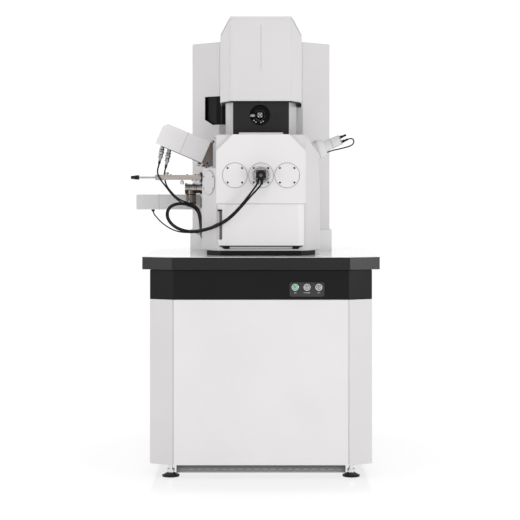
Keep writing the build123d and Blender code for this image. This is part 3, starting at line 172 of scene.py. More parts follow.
def fading_mask(tree, axis, start, end):
    """From nought to one between two places along an axis."""
    coordinates = tree.nodes.new("ShaderNodeTexCoord")
    fade = tree.nodes.new("ShaderNodeMapRange")
    fade.inputs["From Min"].default_value = start
    fade.inputs["From Max"].default_value = end
    link(tree, along_axis(tree, coordinates.outputs["Object"], axis), fade.inputs["Value"])
    return fade.outputs["Result"]


def outward_mask(tree, direction, distance):
    """One beyond a distance along a direction."""
    coordinates = tree.nodes.new("ShaderNodeTexCoord")
    along = tree.nodes.new("ShaderNodeVectorMath")
    along.operation = "DOT_PRODUCT"
    along.inputs[1].default_value = direction
    link(tree, coordinates.outputs["Object"], along.inputs[0])
    return beyond(tree, along.outputs["Value"], distance)


def mix_colour(tree, factor, first, second):
    node = tree.nodes.new("ShaderNodeMix")
    node.data_type = "RGBA"
    link(tree, factor, node.inputs["Factor"])
    link(tree, first, node.inputs["A"])
    link(tree, second, node.inputs["B"])
    return node.outputs["Result"]


def mix_number(tree, factor, first, second):
    node = tree.nodes.new("ShaderNodeMix")
    node.data_type = "FLOAT"
    link(tree, factor, node.inputs["Factor"])
    link(tree, first, node.inputs["A"])
    link(tree, second, node.inputs["B"])
    return node.outputs["Result"]


def surface(
    name,
    colour,
    roughness,
    metallic=0.0,
    variation=0.02,
    grain=1400.0,
    bump=0.04,
    edge=0.0012,
    stretch=(1, 1, 1),
    mask=None,
    other=None,
    other_roughness=0.3,
    other_metallic=None,
    emission=None,
    specular=0.5,
):
    """Procedural finish with fine grain, slight clouding and softly rounded edges."""
    material = bpy.data.materials.new(name)
    material.use_nodes = True
    tree = material.node_tree
    shader = tree.nodes["Principled BSDF"]
    vector = object_coordinates(tree, stretch)
    fine = noise(tree, vector, grain)
    clouds = noise(tree, vector, CLOUD_SCALE)
    base = ramp(tree, clouds, shade(colour, 1 - variation), shade(colour, 1 + variation))
    rough = spread(tree, fine, roughness - ROUGHNESS_SPREAD, roughness + ROUGHNESS_SPREAD)
    shader.inputs["Metallic"].default_value = metallic
    shader.inputs["Specular IOR Level"].default_value = specular
    if mask:
        factor = mask(tree)
        second = ramp(tree, clouds, shade(other, 1 - variation), shade(other, 1 + variation))
        base = mix_colour(tree, factor, base, second)
        second_rough = spread(
            tree,
            fine,
            other_roughness - OTHER_ROUGHNESS_SPREAD,
            other_roughness + OTHER_ROUGHNESS_SPREAD,
        )
        rough = mix_number(tree, factor, rough, second_rough)
        if other_metallic is not None:
            metal = spread(tree, factor, metallic, other_metallic)
            link(tree, metal, shader.inputs["Metallic"])
    link(tree, base, shader.inputs["Base Color"])
    link(tree, rough, shader.inputs["Roughness"])
    rounded = tree.nodes.new("ShaderNodeBevel")
    rounded.samples = 4
    rounded.inputs["Radius"].default_value = edge
    relief = tree.nodes.new("ShaderNodeBump")
    relief.inputs["Strength"].default_value = bump
    relief.inputs["Distance"].default_value = RELIEF_DEPTH
    link(tree, fine, relief.inputs["Height"])
    link(tree, rounded.outputs["Normal"], relief.inputs["Normal"])
    link(tree, relief.outputs["Normal"], shader.inputs["Normal"])
    if emission:
        shader.inputs["Emission Color"].default_value = (*emission, 1)
        shader.inputs["Emission Strength"].default_value = LAMP_STRENGTH
    return material


WHITE = (0.785, 0.768, 0.776)
GREY = (0.70, 0.692, 0.698)
CHARCOAL = (0.0065, 0.0062, 0.0064)
BLACK = (0.0045, 0.0045, 0.005)
SEAM_DISTANCE = 0.317
SEAM_PLACE = MIDDLE_X * DETECTOR_OUT.x + SEAM_DISTANCE + DETECTOR_AIM.z * DETECTOR_OUT.z


def paint(name, colour, roughness, edge=0.002, specular=0.3, **other):
    """Sprayed finish of the sheet covers."""
    return surface(
        name, colour, roughness, bump=0.05, grain=2200, edge=edge, specular=specular, **other
    )


def metal(name, colour, roughness, grain=900, bump=0.02, **other):
    """Bare or plated metal."""
    return surface(name, colour, roughness, metallic=1.0, grain=grain, bump=bump, **other)


white_paint = paint("white_paint", WHITE, 0.42, specular=0.35)
cover_paint = paint("cover_paint", shade(WHITE, 0.86), 0.40, edge=0.009, specular=0.35)
column_paint = paint("column_paint", shade(WHITE, 0.88), 0.40, edge=0.006, specular=0.35)
# A darker copy of the white paint: painted shade on the side panels, which get less light than the
# front
side_paint_painted_shade = paint("side_paint_painted_shade", shade(WHITE, 0.88), 0.42)
# A darker copy of the white paint: painted shade on the rear housing
housing_paint_painted_shade = paint("housing_paint_painted_shade", shade(WHITE, 0.86), 0.45, edge=0.003)
# EDS housing paint: a touch darker up to the seam and a touch lighter beyond it, painted shade and
# painted light either side of the fold in its front face
grey_paint_painted_light_and_shade = paint(
    "grey_paint_painted_light_and_shade", shade(WHITE, 0.97), 0.45,
    mask=lambda tree: outward_mask(tree, DETECTOR_OUT, SEAM_PLACE),
    other=shade(WHITE, 1.02), other_roughness=0.45,
)
arm_paint = paint("arm_paint", GREY, 0.45)
base_paint = paint("base_paint", shade(GREY, 1.1), 0.45)
charcoal_paint = surface(
    "charcoal_paint", CHARCOAL, 0.33, bump=0.05, grain=1800, variation=0.1, specular=0.16
)
worktop_finish = surface(
    "worktop_finish", shade(CHARCOAL, 1.3), 0.33, bump=0.03, grain=1500, variation=0.1,
    specular=0.30, mask=lambda tree: facing_mask(tree, "Z", 0.5), other=(0.86, 0.86, 0.86),
    other_roughness=0.08,
)
frame_steel = surface("frame_steel", (0.05, 0.05, 0.055), 0.55, bump=0.1, grain=900, variation=0.1)
# Base pan: grey low down and nearly black above, a painted reflection of the white floor at the
# bottom and painted shade under the cabinet higher up
pan_painted_light_and_shade = surface(
    "pan_painted_light_and_shade", (0.36, 0.36, 0.37), 0.45, bump=0.05, grain=900, variation=0.05, specular=0.3,
    mask=lambda tree: fading_mask(tree, "Z", 0.012, 0.042), other=(0.035, 0.035, 0.037),
    other_roughness=0.45,
)
black_metal = surface(
    "black_metal", BLACK, 0.36, bump=0.05, grain=1500, variation=0.2, edge=0.001, specular=0.18
)
black_plastic = surface(
    "black_plastic", BLACK, 0.42, bump=0.12, grain=2500, variation=0.2, edge=0.0008, specular=0.25
)
shroud_finish = surface(
    "shroud_finish", (0.018, 0.0175, 0.018), 0.42, bump=0.05, grain=1500, variation=0.2,
    specular=0.2, mask=slanted_mask, other=(0.54, 0.535, 0.54), other_roughness=0.35,
    other_metallic=0.5, edge=0.0006,
)
panel_grey = surface(
    "panel_grey", (0.045, 0.044, 0.045), 0.35, bump=0.05, grain=2500, edge=0.0015, specular=0.25
)
cast_metal = metal("cast_metal", (0.55, 0.55, 0.56), 0.34, bump=0.08, variation=0.06)
stage_metal = metal(
    "stage_metal", (0.62, 0.62, 0.63), 0.30, bump=0.06, grain=700, variation=0.05,
    stretch=(1, 12, 1),
)
brushed_steel = metal(
    "brushed_steel", (0.44, 0.395, 0.365), 0.30, bump=0.12, grain=420, variation=0.08,
    stretch=(1, 14, 14), edge=0.0006,
)
warm_steel = metal(
    "warm_steel", (0.17, 0.142, 0.128), 0.22, bump=0.12, grain=160, variation=0.45,
    stretch=(6, 6, 0.6), edge=0.0012,
)
chrome = metal("chrome", (0.62, 0.62, 0.63), 0.10, edge=0.0006)
dark_chrome = metal(
    "dark_chrome", (0.10, 0.10, 0.105), 0.16, bump=0.04, variation=0.3, edge=0.0008
)
# Dark grey for the sheet at the back of the door's grip recess: painted shade
grip_painted_shade_grey = surface(
    "grip_painted_shade_grey", (0.26, 0.26, 0.26), 0.45, bump=0.05, grain=2000, variation=0.1
)
polished = metal("polished", (0.36, 0.36, 0.37), 0.14, variation=0.03, edge=0.0006)
gauge_finish = metal(
    "gauge_finish", (0.10, 0.07, 0.055), 0.2, bump=0.03, variation=0.1,
    mask=lambda tree: height_mask(tree, "Z", 1.0405), other=(0.40, 0.39, 0.38),
    other_roughness=0.16, other_metallic=1.0, edge=0.0006,
)
dome_metal = metal("dome_metal", (0.14, 0.14, 0.145), 0.18, edge=0.0006)
foot_finish = surface(
    "foot_finish", (0.008, 0.008, 0.008), 0.4, bump=0.08, grain=1200, variation=0.1, specular=0.3,
    mask=lambda tree: height_mask(tree, "Z", 0.0072), other=(0.74, 0.74, 0.75),
    other_roughness=0.12, other_metallic=1.0, edge=0.0008,
)
probe_finish = surface(
    "probe_finish", BLACK, 0.4, bump=0.05, grain=1200, variation=0.1, specular=0.3,
    mask=lambda tree: height_mask(tree, "X", MIDDLE_X - 0.4645), other=(0.42, 0.42, 0.42),
    other_roughness=0.25, other_metallic=1.0, edge=0.0006,
)
rubber = surface(
    "rubber", (0.003, 0.003, 0.0033), 0.2, bump=0.05, grain=3000, variation=0.2, edge=0.0005,
    specular=0.28,
)
seam_grey = surface("seam_grey", (0.16, 0.16, 0.16), 0.5, bump=0.0, specular=0.2)
# Pale grey for the sheet behind the pan's slots: painted light showing through them
pan_painted_light = surface("pan_painted_light", (0.42, 0.42, 0.42), 0.5, bump=0.0)
white_plastic = surface(
    "white_plastic", (0.75, 0.75, 0.75), 0.35, bump=0.03, grain=2500, edge=0.0006
)
green_light = surface("green_light", (0.05, 0.55, 0.25), 0.3, emission=(0.05, 0.62, 0.28))
red_light = surface("red_light", (0.6, 0.03, 0.04), 0.3, emission=(0.5, 0.03, 0.04))
pale_print = surface("pale_print", (0.86, 0.86, 0.86), 0.5, bump=0.0)

NODE_FINISH = {
    "cabinet_frame": frame_steel,
    "front_panel": white_paint,
    "side_panels": side_paint_painted_shade,
    "rear_panel": white_paint,
    "mains_inlet": black_plastic,
    "fascia_band": charcoal_paint,
    "worktop": worktop_finish,
    "base_pan": pan_painted_light_and_shade,
    "control_plate": panel_grey,
    "on_button": dome_metal,
    "standby_button": dome_metal,
    "off_button": dome_metal,
    "chamber_base_plate": black_metal,
    "vacuum_chamber": cast_metal,
    "chamber_cover": cover_paint,
    "cheek_blank": cover_paint,
    "door_flange": cast_metal,
    "front_plate": white_paint,
    "port_blanks": white_paint,
    "camera_flange": white_paint,
    "chamber_camera": black_metal,
    "lower_door_cover": white_paint,
    "drawer_rails": brushed_steel,
    "stage_base": stage_metal,
    "stage_y_carriage": stage_metal,
    "stage_x_carriage": stage_metal,
    "stage_z_lift": stage_metal,
    "stage_tilt_cradle": stage_metal,
    "rotation_table": brushed_steel,
    "eds_bracket": warm_steel,
    "eds_housing": grey_paint_painted_light_and_shade,
    "eds_tube": brushed_steel,
    "eds_connectors": polished,
    "probe_guide": brushed_steel,
    "probe_clamp_screw": polished,
    "probe_rod": probe_finish,
    "gauge_nipple": gauge_finish,
    "gauge_head": warm_steel,
    "side_arm": arm_paint,
    "se_detector": arm_paint,
    "se_connectors": rubber,
    "turbo_pump": brushed_steel,
    "objective_lens": brushed_steel,
    "electron_column": cast_metal,
    "aperture_hub": dark_chrome,
    "aperture_knob": brushed_steel,
    "mid_enclosure": shroud_finish,
    "column_cover": column_paint,
    "rear_housing": housing_paint_painted_shade,
    "rear_housing_base": base_paint,
}
for corner in ("front_left", "front_right", "rear_left", "rear_right"):
    NODE_FINISH[f"levelling_foot_{corner}"] = foot_finish
for node_name, finish in NODE_FINISH.items():
    node = bpy.data.objects[node_name]
    node.data.materials.clear()
    node.data.materials.append(finish)


# Shapes

SHARP_ANGLE = math.radians(32)


def finished(name, mesh, material, body, smooth=True):
    """Object from a mesh, with its finish and the body that it rides on."""
    mesh.transform(Matrix.Translation((MIDDLE_X, 0, 0)))
    mesh.materials.append(material)
    if smooth:
        mesh.shade_smooth()
        mesh.set_sharp_from_angle(angle=SHARP_ANGLE)
    piece = bpy.data.objects.new(name, mesh)
    bpy.context.scene.collection.objects.link(piece)
    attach(piece, body)
    return piece


def from_bmesh(name, shape, material, body, smooth=True):
    bmesh.ops.recalc_face_normals(shape, faces=shape.faces)
    mesh = bpy.data.meshes.new(name)
    shape.to_mesh(mesh)
    shape.free()
    return finished(name, mesh, material, body, smooth)


def turn_to(axis, place):
    """Matrix that takes the Z axis to an axis at a place."""
    turn = Z_AXIS.rotation_difference(Vector(axis))
    return Matrix.Translation(place) @ turn.to_matrix().to_4x4()


def add_circle(shape, matrix, radius, height, segments):
    """Adds the vertices of a circle at a height along the matrix's Z axis."""
    circle = []
    for step in range(segments):
        angle = 2 * math.pi * step / segments
        place = Vector((radius * math.cos(angle), radius * math.sin(angle), height))
        circle.append(shape.verts.new(matrix @ place))
    return circle


def join_rings(shape, lower, upper):
    """Adds the faces between two rings with as many vertices."""
    for step in range(len(lower)):
        after = (step + 1) % len(lower)
        shape.faces.new((lower[step], lower[after], upper[after], upper[step]))


def add_turned(shape, profile, place, axis, segments=40):
    """Adds a turned body: its profile is radius and height, and it may end in a point."""
    matrix = turn_to(axis, Vector(place))
    rings = []
    for radius, height in profile:
        if radius:
            rings.append(add_circle(shape, matrix, radius, height, segments))
        else:
            rings.append([shape.verts.new(matrix @ Vector((0, 0, height)))])
    for lower, upper in zip(rings, rings[1:]):
        if len(upper) > 1:
            join_rings(shape, lower, upper)
            continue
        for step in range(segments):
            shape.faces.new((lower[step], lower[(step + 1) % segments], upper[0]))
    shape.faces.new(rings[0])
    if len(rings[-1]) > 1:
        shape.faces.new(rings[-1])


def turned(name, profile, place, axis, material, body, segments=40):
    shape = bmesh.new()
    add_turned(shape, profile, place, axis, segments)
    return from_bmesh(name, shape, material, body)


def add_ring(shape, inner, outer, height, place, axis, segments=56):
    """Adds a flat ring with softened edges."""
    matrix = turn_to(axis, Vector(place))
    soft = min(height, outer - inner) * 0.25
    profile = [(inner, 0), (outer, 0), (outer, height - soft), (outer - soft, height),
               (inner + soft, height), (inner, height - soft)]
    rings = [add_circle(shape, matrix, radius, level, segments) for radius, level in profile]
    for ring, following in zip(rings, [*rings[1:], rings[0]]):
        join_rings(shape, ring, following)


def add_box(shape, centre, size, axes=(X_AXIS, Y_AXIS, Z_AXIS), bevel=0.0008):
    """Adds a box along three axes, with bevelled edges."""
    made = bmesh.ops.create_cube(shape, size=1.0)
    matrix = Matrix((axes[0] * size[0], axes[1] * size[1], axes[2] * size[2])).transposed().to_4x4()
    matrix.translation = Vector(centre)
    bmesh.ops.transform(shape, matrix=matrix, verts=made["verts"])
    edges = list({edge for vertex in made["verts"] for edge in vertex.link_edges})
    if bevel:
        bmesh.ops.bevel(shape, geom=edges, offset=bevel, segments=2, profile=0.6, affect="EDGES")


def box_piece(name, centre, size, material, body, axes=(X_AXIS, Y_AXIS, Z_AXIS), bevel=0.0008):
    shape = bmesh.new()
    add_box(shape, centre, size, axes, bevel)
    return from_bmesh(name, shape, material, body)


def add_cap_screw(shape, place, axis, radius, height):
    """Adds a cap screw with its hexagon socket."""
    socket = radius * 0.5
    add_turned(
        shape,
        [(radius, 0), (radius, height * 0.85), (radius * 0.88, height), (socket, height)],
        place,
        axis,
        segments=20,
    )
    deep = Vector(place) + Vector(axis).normalized() * height * 0.5
    add_turned(shape, [(socket, 0), (socket, height * 0.5)], deep, axis, segments=6)


def strip(name, corners, thickness, normal, material, body):
    """Flat plate with the outline of its corners, thickened along a normal."""
    shape = bmesh.new()
    rise = Vector(normal).normalized() * thickness
    lower = [shape.verts.new(Vector(corner)) for corner in corners]
    upper = [shape.verts.new(Vector(corner) + rise) for corner in corners]
    shape.faces.new(lower)
    shape.faces.new(upper)
    join_rings(shape, lower, upper)
    return from_bmesh(name, shape, material, body, smooth=False)


# Cables


def smooth_line(route):
    """Points along the smooth spline whose control points are a route."""
    curve = bpy.data.curves.new("line", "CURVE")
    curve.dimensions = "3D"
    curve.resolution_u = 10
    spline = curve.splines.new("NURBS")
    spline.points.add(len(route) - 1)
    for point, place in zip(spline.points, route):
        point.co = (MIDDLE_X + place[0] / 1000, place[1] / 1000, place[2] / 1000, 1)
    spline.order_u = 3
    spline.use_endpoint_u = True
    holder = bpy.data.objects.new("line", curve)
    mesh = bpy.data.meshes.new_from_object(holder)
    points = [vertex.co.copy() for vertex in mesh.vertices]
    bpy.data.objects.remove(holder)
    bpy.data.meshes.remove(mesh)
    return points


def add_tube(shape, points, radius, segments=14):
    """Adds a round tube that follows points."""
    side = None
    rings = []
    for index, point in enumerate(points):
        before = points[max(index - 1, 0)]
        after = points[min(index + 1, len(points) - 1)]
        along = (after - before).normalized()
        if side is None:
            side = along.orthogonal().normalized()
        side = (side - along * side.dot(along)).normalized()
        across = along.cross(side)
        ring = []
        for step in range(segments):
            angle = 2 * math.pi * step / segments
            sideways = side * math.cos(angle) * radius
            ring.append(shape.verts.new(point + sideways + across * math.sin(angle) * radius))
        rings.append(ring)
    for lower, upper in zip(rings, rings[1:]):
        join_rings(shape, lower, upper)
    shape.faces.new(rings[0])
    shape.faces.new(rings[-1])


def cable(node, route, diameter, blend=None):
    """Cable along its route in millimetres, which replaces the plain tube."""
    points = smooth_line(route)
    shape = bmesh.new()
    add_tube(shape, points, diameter / 2000)
    bmesh.ops.recalc_face_normals(shape, faces=shape.faces)
    mesh = bpy.data.meshes.new(f"{node}_skin")
    shape.to_mesh(mesh)
    shape.free()
    mesh.materials.append(rubber)
    mesh.shade_smooth()
    piece = bpy.data.objects.new(f"{node}_skin", mesh)
    bpy.context.scene.collection.objects.link(piece)
    if blend:
        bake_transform(piece)
    else:
        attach(piece, "root")
    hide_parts(node)


CAMERA_CABLE_A = [
    (-12, -414, 1076), (-12, -414, 1064), (-24, -420, 1047), (-44, -424, 1020), (-69, -426, 989),
    (-96, -424, 959), (-124, -416, 935), (-152, -402, 918), (-176, -385, 907), (-204, -362, 898),
    (-234, -338, 891), (-262, -320, 889), (-288, -304, 893), (-312, -292, 902), (-333, -282, 917),
    (-346, -272, 937), (-348, -262, 957), (-341, -252, 973), (-326, -245, 983), (-303, -238, 988),
    (-279, -229, 985), (-256, -216, 976), (-239, -198, 959), (-234, -172, 930), (-233, -136, 903),
    (-234, -95, 883), (-235, -46, 868), (-233, 3, 856), (-233, 45, 856),
]
CAMERA_CABLE_B = [
    (3, -414, 1076), (3, -414, 1062), (-14, -416, 1042), (-39, -418, 1016), (-65, -420, 985),
    (-93, -417, 954), (-121, -409, 929), (-150, -395, 912), (-175, -378, 901), (-203, -354, 892),
    (-233, -330, 885), (-263, -312, 883), (-290, -296, 887), (-315, -284, 897), (-337, -275, 913),
    (-352, -265, 935), (-354, -255, 958), (-346, -245, 976), (-329, -238, 988), (-304, -231, 993),
    (-278, -222, 990), (-254, -209, 981), (-235, -189, 965), (-231, -159, 941), (-230, -120, 917),
    (-231, -80, 898), (-232, -40, 883), (-233, 4, 872), (-233, 45, 872),
]
EDS_CABLE_A = [
    (-386.455, -150, 1151.923), (-389.62, -150, 1136.24), (-395, -157, 1116), (-391, -172, 1095),
    (-377, -185, 1074), (-360, -190, 1054), (-343, -190, 1030), (-323, -189, 1009),
    (-298, -187, 991), (-273, -183, 984), (-250, -174, 974), (-237, -150, 956), (-234, -114, 938),
    (-232, -74, 925), (-234, -26, 914), (-233, 20, 905), (-233, 60, 905),
]
EDS_CABLE_B = [
    (-361.455, -150, 1137.423), (-364.42, -150, 1122.72), (-369, -137, 1110), (-371, -121, 1097),
    (-369, -116, 1080), (-364, -124, 1063), (-355, -142, 1048), (-342, -159, 1034),
    (-325, -169, 1016), (-303, -172, 1001), (-279, -170, 993), (-256, -161, 985),
    (-240, -139, 972), (-234, -104, 956), (-232, -60, 941), (-234, -16, 929), (-233, 28, 921),
    (-233, 60, 921),
]
ARM_CABLE = [
    (-419, -50, 966), (-419, -50, 952), (-405, -51, 935), (-388, -53, 917), (-370, -55, 903),
    (-352, -57, 892), (-334, -58, 884), (-312, -58, 878), (-288, -54, 876), (-267, -43, 876),
    (-254, -24, 875), (-251, 4, 873), (-250, 32, 872), (-250, 60, 872),
]
SE_CABLE = [
    (331.42, -150, 1234.54), (342.51, -150, 1239.13), (354, -150, 1233), (354, -150, 1219),
    (342, -150, 1209), (320, -150, 1203), (297, -149, 1197), (270.1, -150, 1191.82),
    (251.65, -150, 1184.18),
]
# Moving body, root and two places on the cable for each blend; cable() only checks that one is
# given, and then leaves the cable attached to no body
door_blend = ("door", "root", (MIDDLE_X - 0.02, -0.43, 1.05), (MIDDLE_X - 0.28, -0.27, 0.93))
detector_blend = ("detector", "root", (MIDDLE_X - 0.39, -0.15, 1.15), (MIDDLE_X - 0.33, -0.19, 1.01))
cable("camera_cable_a", CAMERA_CABLE_A, 7.0, blend=door_blend)
cable("camera_cable_b", CAMERA_CABLE_B, 7.0, blend=door_blend)
cable("eds_cable_a", EDS_CABLE_A, 6.0, blend=detector_blend)
cable("eds_cable_b", EDS_CABLE_B, 6.0, blend=detector_blend)
cable("arm_cable", ARM_CABLE, 5.0)
cable("se_cable", SE_CABLE, 5.0)


# Screws, rings and small fittings


def port_details():
    """Four black screws and a dark line round each port of the front plate."""
    face_y = -0.382
    line_y = -0.3700
    screw_pitch = 0.0265
    screws = bmesh.new()
    lines = bmesh.new()
    for port_x in (-PORT_PITCH, 0, PORT_PITCH):
        for side in (-1, 1):
            for level in (-1, 1):
                place = (port_x + side * screw_pitch, face_y, PORT_Z + level * screw_pitch)
                add_cap_screw(screws, place, FRONT, 0.0036, 0.0014)
        add_ring(lines, 0.0451, 0.0461, 0.0085, (port_x, line_y, PORT_Z), FRONT)
    from_bmesh("port_screws", screws, black_metal, "door")
    from_bmesh("port_lines", lines, seam_grey, "door")


def cheek_details():
    """Screws and a dark line on the blank flange of the left cheek."""
    along = Vector((-56, 95, 0)).normalized()
    outward = Vector((-95, -56, 0)).normalized()
    centre = Vector((-0.192, -0.321, 1.068))
    screws = bmesh.new()
    for side in (-1, 1):
        for level in (-1, 1):
            place = centre + along * side * 0.0345 + Z_AXIS * level * 0.022 + outward * 0.00305
            add_cap_screw(screws, place, outward, 0.0024, 0.001)
    from_bmesh("cheek_screws", screws, black_metal, "root")
    line = bmesh.new()
    add_ring(line, 0.0455, 0.0466, 0.0011, centre, outward)
    from_bmesh("cheek_line", line, seam_grey, "root")


def camera_details():
    """Bezel, knurl, side plates, screws, cable boots and cable clip of the chamber camera."""
    front_y = -0.432
    ring_y = -0.396
    bezel = bmesh.new()
    add_ring(bezel, 0.0075, 0.0135, 0.0025, (0, front_y, PORT_Z), FRONT)
    add_box(bezel, (0, front_y - 0.001, PORT_Z + 0.0148), (0.030, 0.003, 0.003))
    from_bmesh("camera_bezel", bezel, black_plastic, "door")
    turned("camera_badge", [(0.0070, 0), (0.0070, 0.001), (0.006, 0.0016)], (0, front_y, PORT_Z),
           FRONT, warm_steel, "door")
    knurl = bmesh.new()
    add_ring(knurl, 0.0190, 0.0301, 0.0012, (0, ring_y, PORT_Z), FRONT)
    for step in range(36):
        angle = math.radians(10 * step)
        outward = Vector((math.cos(angle), 0, math.sin(angle)))
        add_box(knurl, Vector((0, -0.3890, PORT_Z)) + outward * 0.0300,
                (0.0020, 0.0115, 0.0024), (outward, Y_AXIS, outward.cross(Y_AXIS)), bevel=0.0003)
    from_bmesh("camera_knurl", knurl, polished, "door")
    sides = bmesh.new()
    for side in (-1, 1):
        add_box(sides, (side * 0.0184, -0.412, PORT_Z + 0.002), (0.0016, 0.014, 0.010))
    from_bmesh("camera_side_plates", sides, chrome, "door")
    screws = bmesh.new()
    for side in (-1, 1):
        for level in (-1, 1):
            place = (side * 0.0138, front_y, PORT_Z + level * 0.0135)
            add_cap_screw(screws, place, FRONT, 0.0022, 0.0012)
    for step in range(6):
        angle = math.radians(60 * step + 30)
        place = (0.0262 * math.cos(angle), ring_y, PORT_Z + 0.0262 * math.sin(angle))
        add_cap_screw(screws, place, FRONT, 0.0020, 0.0012)
    from_bmesh("camera_screws", screws, polished, "door")
    boots = bmesh.new()
    for boot_x in (-0.012, 0.003):
        add_turned(
            boots,
            [(0.0058, 0), (0.0058, 0.006), (0.0045, 0.008), (0.0042, 0.016), (0.0036, 0.017)],
            (boot_x, -0.414, 1.0765), -Z_AXIS, segments=24,
        )
    from_bmesh("camera_boots", boots, black_plastic, "door")
    clip = bmesh.new()
    along = Vector((0.86, -0.30, 0.41))
    across = Vector((0.33, 0.94, 0))
    axes = (along.normalized(), across.normalized(), along.cross(across).normalized())
    add_box(clip, (-0.160, -0.396, 0.9115), (0.026, 0.014, 0.013), axes, bevel=0.002)
    piece = from_bmesh("cable_clip", clip, black_plastic, "root")
    piece.parent = None
    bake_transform(piece)


def collar(name, outer, inner, low, high, material, body):
    """Flat frame between two outlines with as many corners."""
    shape = bmesh.new()
    rings = []
    for outline, level in ((outer, low), (outer, high), (inner, high), (inner, low)):
        rings.append([shape.verts.new((x, y, level)) for x, y in outline])
    for ring, following in zip(rings, [*rings[1:], rings[0]]):
        join_rings(shape, ring, following)
    return from_bmesh(name, shape, material, body, smooth=False)


def mirrored(half_outline):
    """Whole outline from the left half, listed from back to front."""
    return [*half_outline, *[(-x, y) for x, y in reversed(half_outline)]]


def column_details():
    """Black band under the column cover as a painted shadow, a stop under the cover, the dark well
    of the aperture, and its hub with ribs and a painted glint.
    """
    # Black band under the column cover: painted shadow in the gap above the mid enclosure
    collar(
        "cover_underside_painted_shadow",
        mirrored([(-0.1500, 0.018), (-0.1500, -0.1995), (-0.1130, -0.2960)]),
        mirrored([(-0.1335, 0.018), (-0.1335, -0.2205), (-0.1045, -0.2905)]),
        1.3662, 1.3708, black_plastic, "root",
    )
    box_piece("cover_stop", (0.1440, -0.205, 1.3600), (0.016, 0.060, 0.0125), black_plastic,
              "root", bevel=0.002)
    centre = Vector((-0.004, 0, 1.319))
    well = bmesh.new()
    add_ring(well, 0.0372, 0.0386, 0.050, centre + Y_AXIS * -0.240, FRONT)
    add_ring(well, 0.0181, 0.0386, 0.002, centre + Y_AXIS * -0.2385, FRONT)
    from_bmesh("aperture_well", well, black_metal, "root")
    screws = bmesh.new()
    for x, z in ((-0.015, -0.0235), (0.004, -0.0245), (0.012, -0.0205), (-0.022, -0.0175)):
        add_cap_screw(screws, centre + Vector((x, -0.2405, z)), FRONT, 0.0028, 0.004)
    from_bmesh("aperture_screws", screws, chrome, "root")
    ribs_and_glint_bars = bmesh.new()
    for step in range(24):
        angle = 2 * math.pi * step / 24
        outward = Vector((math.cos(angle), 0, math.sin(angle)))
        add_box(ribs_and_glint_bars, centre + outward * 0.0180 - Y_AXIS * 0.2722, (0.0016, 0.0072, 0.0016),
                (outward, Y_AXIS, outward.cross(Y_AXIS)), bevel=0.0003)
    # Four bright bars in an X: a painted highlight, the X-shaped glint on the dark hub
    for step in range(4):
        angle = math.radians(45 + 90 * step)
        outward = Vector((math.cos(angle), 0, math.sin(angle)))
        add_box(ribs_and_glint_bars, centre + outward * 0.0065 - Y_AXIS * 0.2945, (0.009, 0.0024, 0.0028),
                (outward, Y_AXIS, outward.cross(Y_AXIS)), bevel=0.0005)
    from_bmesh("hub_ribs_and_painted_glint", ribs_and_glint_bars, chrome, "hub")


def button_details():
    """Bright bezels, the rings and dots and the generic words of the three switches."""
    bezel_y = -0.469
    ring_y = -0.4711
    dot_y = -0.4737
    word_place = Vector((BUTTON_MIDDLE, -0.4651, 0.6688))
    bezels = bmesh.new()
    for index in (-1, 0, 1):
        button_x = BUTTON_MIDDLE + index * BUTTON_PITCH
        place = (button_x, bezel_y, BUTTON_Z)
        add_ring(bezels, 0.0094, 0.0124, 0.0010, place, FRONT, segments=40)
    from_bmesh("button_bezels", bezels, chrome, "root")
    keys = ("on_key", "standby_key", "off_key")
    for index, key in enumerate(keys):
        button_x = BUTTON_MIDDLE + (index - 1) * BUTTON_PITCH
        ring = bmesh.new()
        place = (button_x, ring_y, BUTTON_Z)
        add_ring(ring, 0.0046, 0.0066, 0.0022, place, FRONT, segments=32)
        from_bmesh(f"{key}_ring", ring, green_light if index == 0 else pale_print, key)
        turned(f"{key}_dot", [(0.0016, 0), (0.0016, 0.001), (0.0, 0.0013)],
               (button_x, dot_y, BUTTON_Z), FRONT, red_light if index == 0 else pale_print, key,
               segments=20)
    for index, word in enumerate(("ON", "STANDBY", "OFF")):
        label = bpy.data.curves.new(word, "FONT")
        label.body = word
        label.size = 0.0054
        label.align_x = "CENTER"
        label.extrude = 0.0001
        holder = bpy.data.objects.new(word, label)
        mesh = bpy.data.meshes.new_from_object(holder)
        bpy.data.objects.remove(holder)
        place = word_place + X_AXIS * (index - 1) * BUTTON_PITCH
        mesh.transform(Matrix.Translation(place) @ Matrix.Rotation(math.radians(90), 4, "X"))
        finished(f"label_{word.lower()}", mesh, pale_print, "root", smooth=False)


def along_detector(distance, height, depth=0.0):
    """Place along the left detector's axis, above it and behind the beam's plane."""
    return DETECTOR_AIM + DETECTOR_OUT * distance + DETECTOR_UP * height + Y_AXIS * depth


